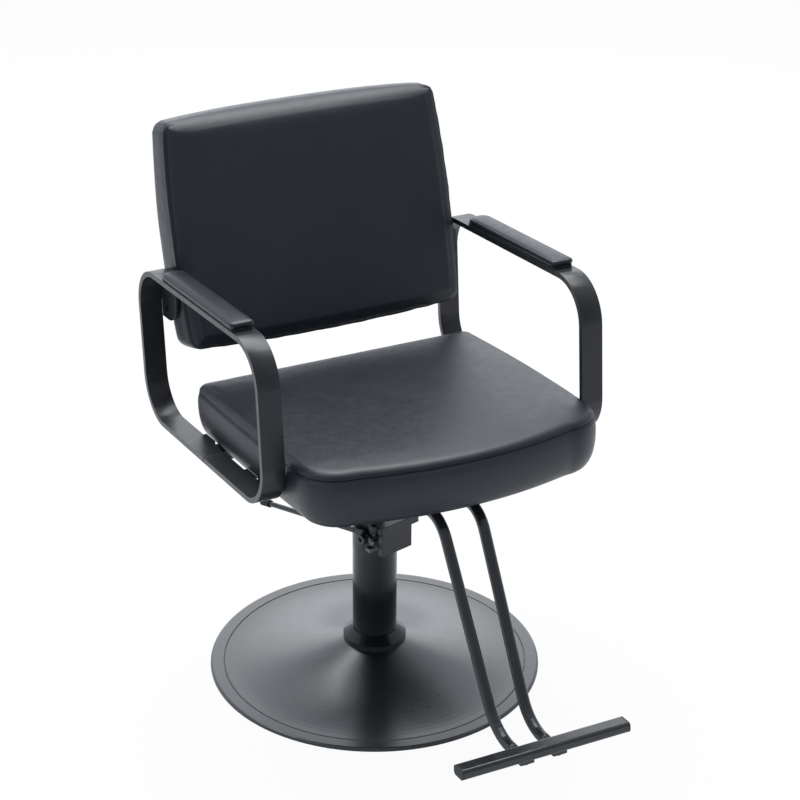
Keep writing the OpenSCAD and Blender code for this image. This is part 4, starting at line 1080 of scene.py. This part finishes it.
def camera():
    """The camera that was fitted to the photo."""
    right = (math.cos(CAMERA_ROLL) * CAMERA_RIGHT + math.sin(CAMERA_ROLL) * CAMERA_UP).normalized()
    up = (math.cos(CAMERA_ROLL) * CAMERA_UP - math.sin(CAMERA_ROLL) * CAMERA_RIGHT).normalized()
    back = right.cross(up).normalized()
    data = bpy.data.cameras.new("camera")
    data.lens = CAMERA_LENS
    data.sensor_width = SENSOR_WIDTH
    data.clip_end = 100
    obj = bpy.data.objects.new("camera", data)
    obj.matrix_world = Matrix.Translation(CAMERA_AT) @ Matrix((right, up, back)).transposed().to_4x4()
    bpy.context.scene.collection.objects.link(obj)
    bpy.context.scene.camera = obj


def lamp(name, at, towards, size, power):
    """A rectangular softbox that the camera doesn't see."""
    data = bpy.data.lights.new(name, "AREA")
    data.shape = "RECTANGLE"
    data.size, data.size_y = size
    data.energy = power
    obj = bpy.data.objects.new(name, data)
    obj.location = at
    obj.rotation_euler = (Vector(towards) - Vector(at)).to_track_quat("-Z", "Y").to_euler()
    obj.visible_camera = False
    bpy.context.scene.collection.objects.link(obj)


def world():
    """A white studio: bright behind the chair, dimmer in front of it, and white to the camera."""
    w = bpy.data.worlds.new("studio")
    w.use_nodes = True
    nodes, links = w.node_tree.nodes, w.node_tree.links
    back = nodes["Background"]
    back.inputs["Color"].default_value = WORLD_TINT
    place = nodes.new("ShaderNodeTexCoord")
    axes = nodes.new("ShaderNodeSeparateXYZ")
    links.new(place.outputs["Generated"], axes.inputs[0])
    depth = nodes.new("ShaderNodeMapRange")
    depth.inputs["From Min"].default_value = WORLD_CHANGE[0]
    depth.inputs["From Max"].default_value = WORLD_CHANGE[1]
    depth.inputs["To Min"].default_value = WORLD_FRONT
    depth.inputs["To Max"].default_value = WORLD_REAR
    links.new(axes.outputs["Y"], depth.inputs["Value"])
    path = nodes.new("ShaderNodeLightPath")
    strength = nodes.new("ShaderNodeMix")
    links.new(depth.outputs["Result"], strength.inputs["A"])
    strength.inputs["B"].default_value = WORLD_SEEN
    links.new(path.outputs["Is Camera Ray"], strength.inputs["Factor"])
    links.new(strength.outputs["Result"], back.inputs["Strength"])
    bpy.context.scene.world = w


def floor_material():
    """A light floor that takes shadows, and that the camera sees as nearly white."""
    mat = bpy.data.materials.new("floor")
    mat.use_nodes = True
    nodes, links = mat.node_tree.nodes, mat.node_tree.links
    out = nodes["Material Output"]
    nodes.remove(nodes["Principled BSDF"])
    plain = nodes.new("ShaderNodeBsdfDiffuse")
    plain.inputs["Color"].default_value = FLOOR_COLOUR
    white = nodes.new("ShaderNodeEmission")
    path = nodes.new("ShaderNodeLightPath")
    share = nodes.new("ShaderNodeMath")
    share.operation = "MULTIPLY"
    share.inputs[1].default_value = FLOOR_WHITE
    mix = nodes.new("ShaderNodeMixShader")
    links.new(path.outputs["Is Camera Ray"], share.inputs[0])
    links.new(share.outputs[0], mix.inputs["Fac"])
    links.new(plain.outputs[0], mix.inputs[1])
    links.new(white.outputs[0], mix.inputs[2])
    links.new(mix.outputs[0], out.inputs["Surface"])
    return mat


def floor():
    """The studio's floor."""
    half = FLOOR_SIZE / 2
    obj = add_mesh("floor", [(-half, -half, 0), (half, -half, 0), (half, half, 0), (-half, half, 0)],
                   [(0, 1, 2, 3)])
    obj.data.materials.append(floor_material())


# The scene


def upholster(obj, node):
    """Puts a padded form in the place of its CAD cushion."""
    obj.data.materials.append(MATERIALS["black_vinyl"])
    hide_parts(node)
    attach(obj, "seat")


def trim(obj, material):
    """Adds a small form, such as stitches, that rides with the seat."""
    obj.data.materials.append(material)
    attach(obj, "seat")


camera()
world()
floor()
for settings in LAMPS:
    lamp(*settings)
bpy.context.scene.view_settings.view_transform = "Standard"

MATERIALS = dress_nodes()
round_edges()
THREAD = thread()

seat, seat_thread = seat_cushion()
upholster(seat, "seat_cushion")
trim(seat_thread, THREAD)
back, back_thread = back_cushion()
upholster(back, "back_cushion")
trim(back_thread, THREAD)
upholster(arm_pad(-1), "arm_pad_left")
upholster(arm_pad(1), "arm_pad_right")
trim(loop_beads(), MATERIALS["satin_black_steel"])
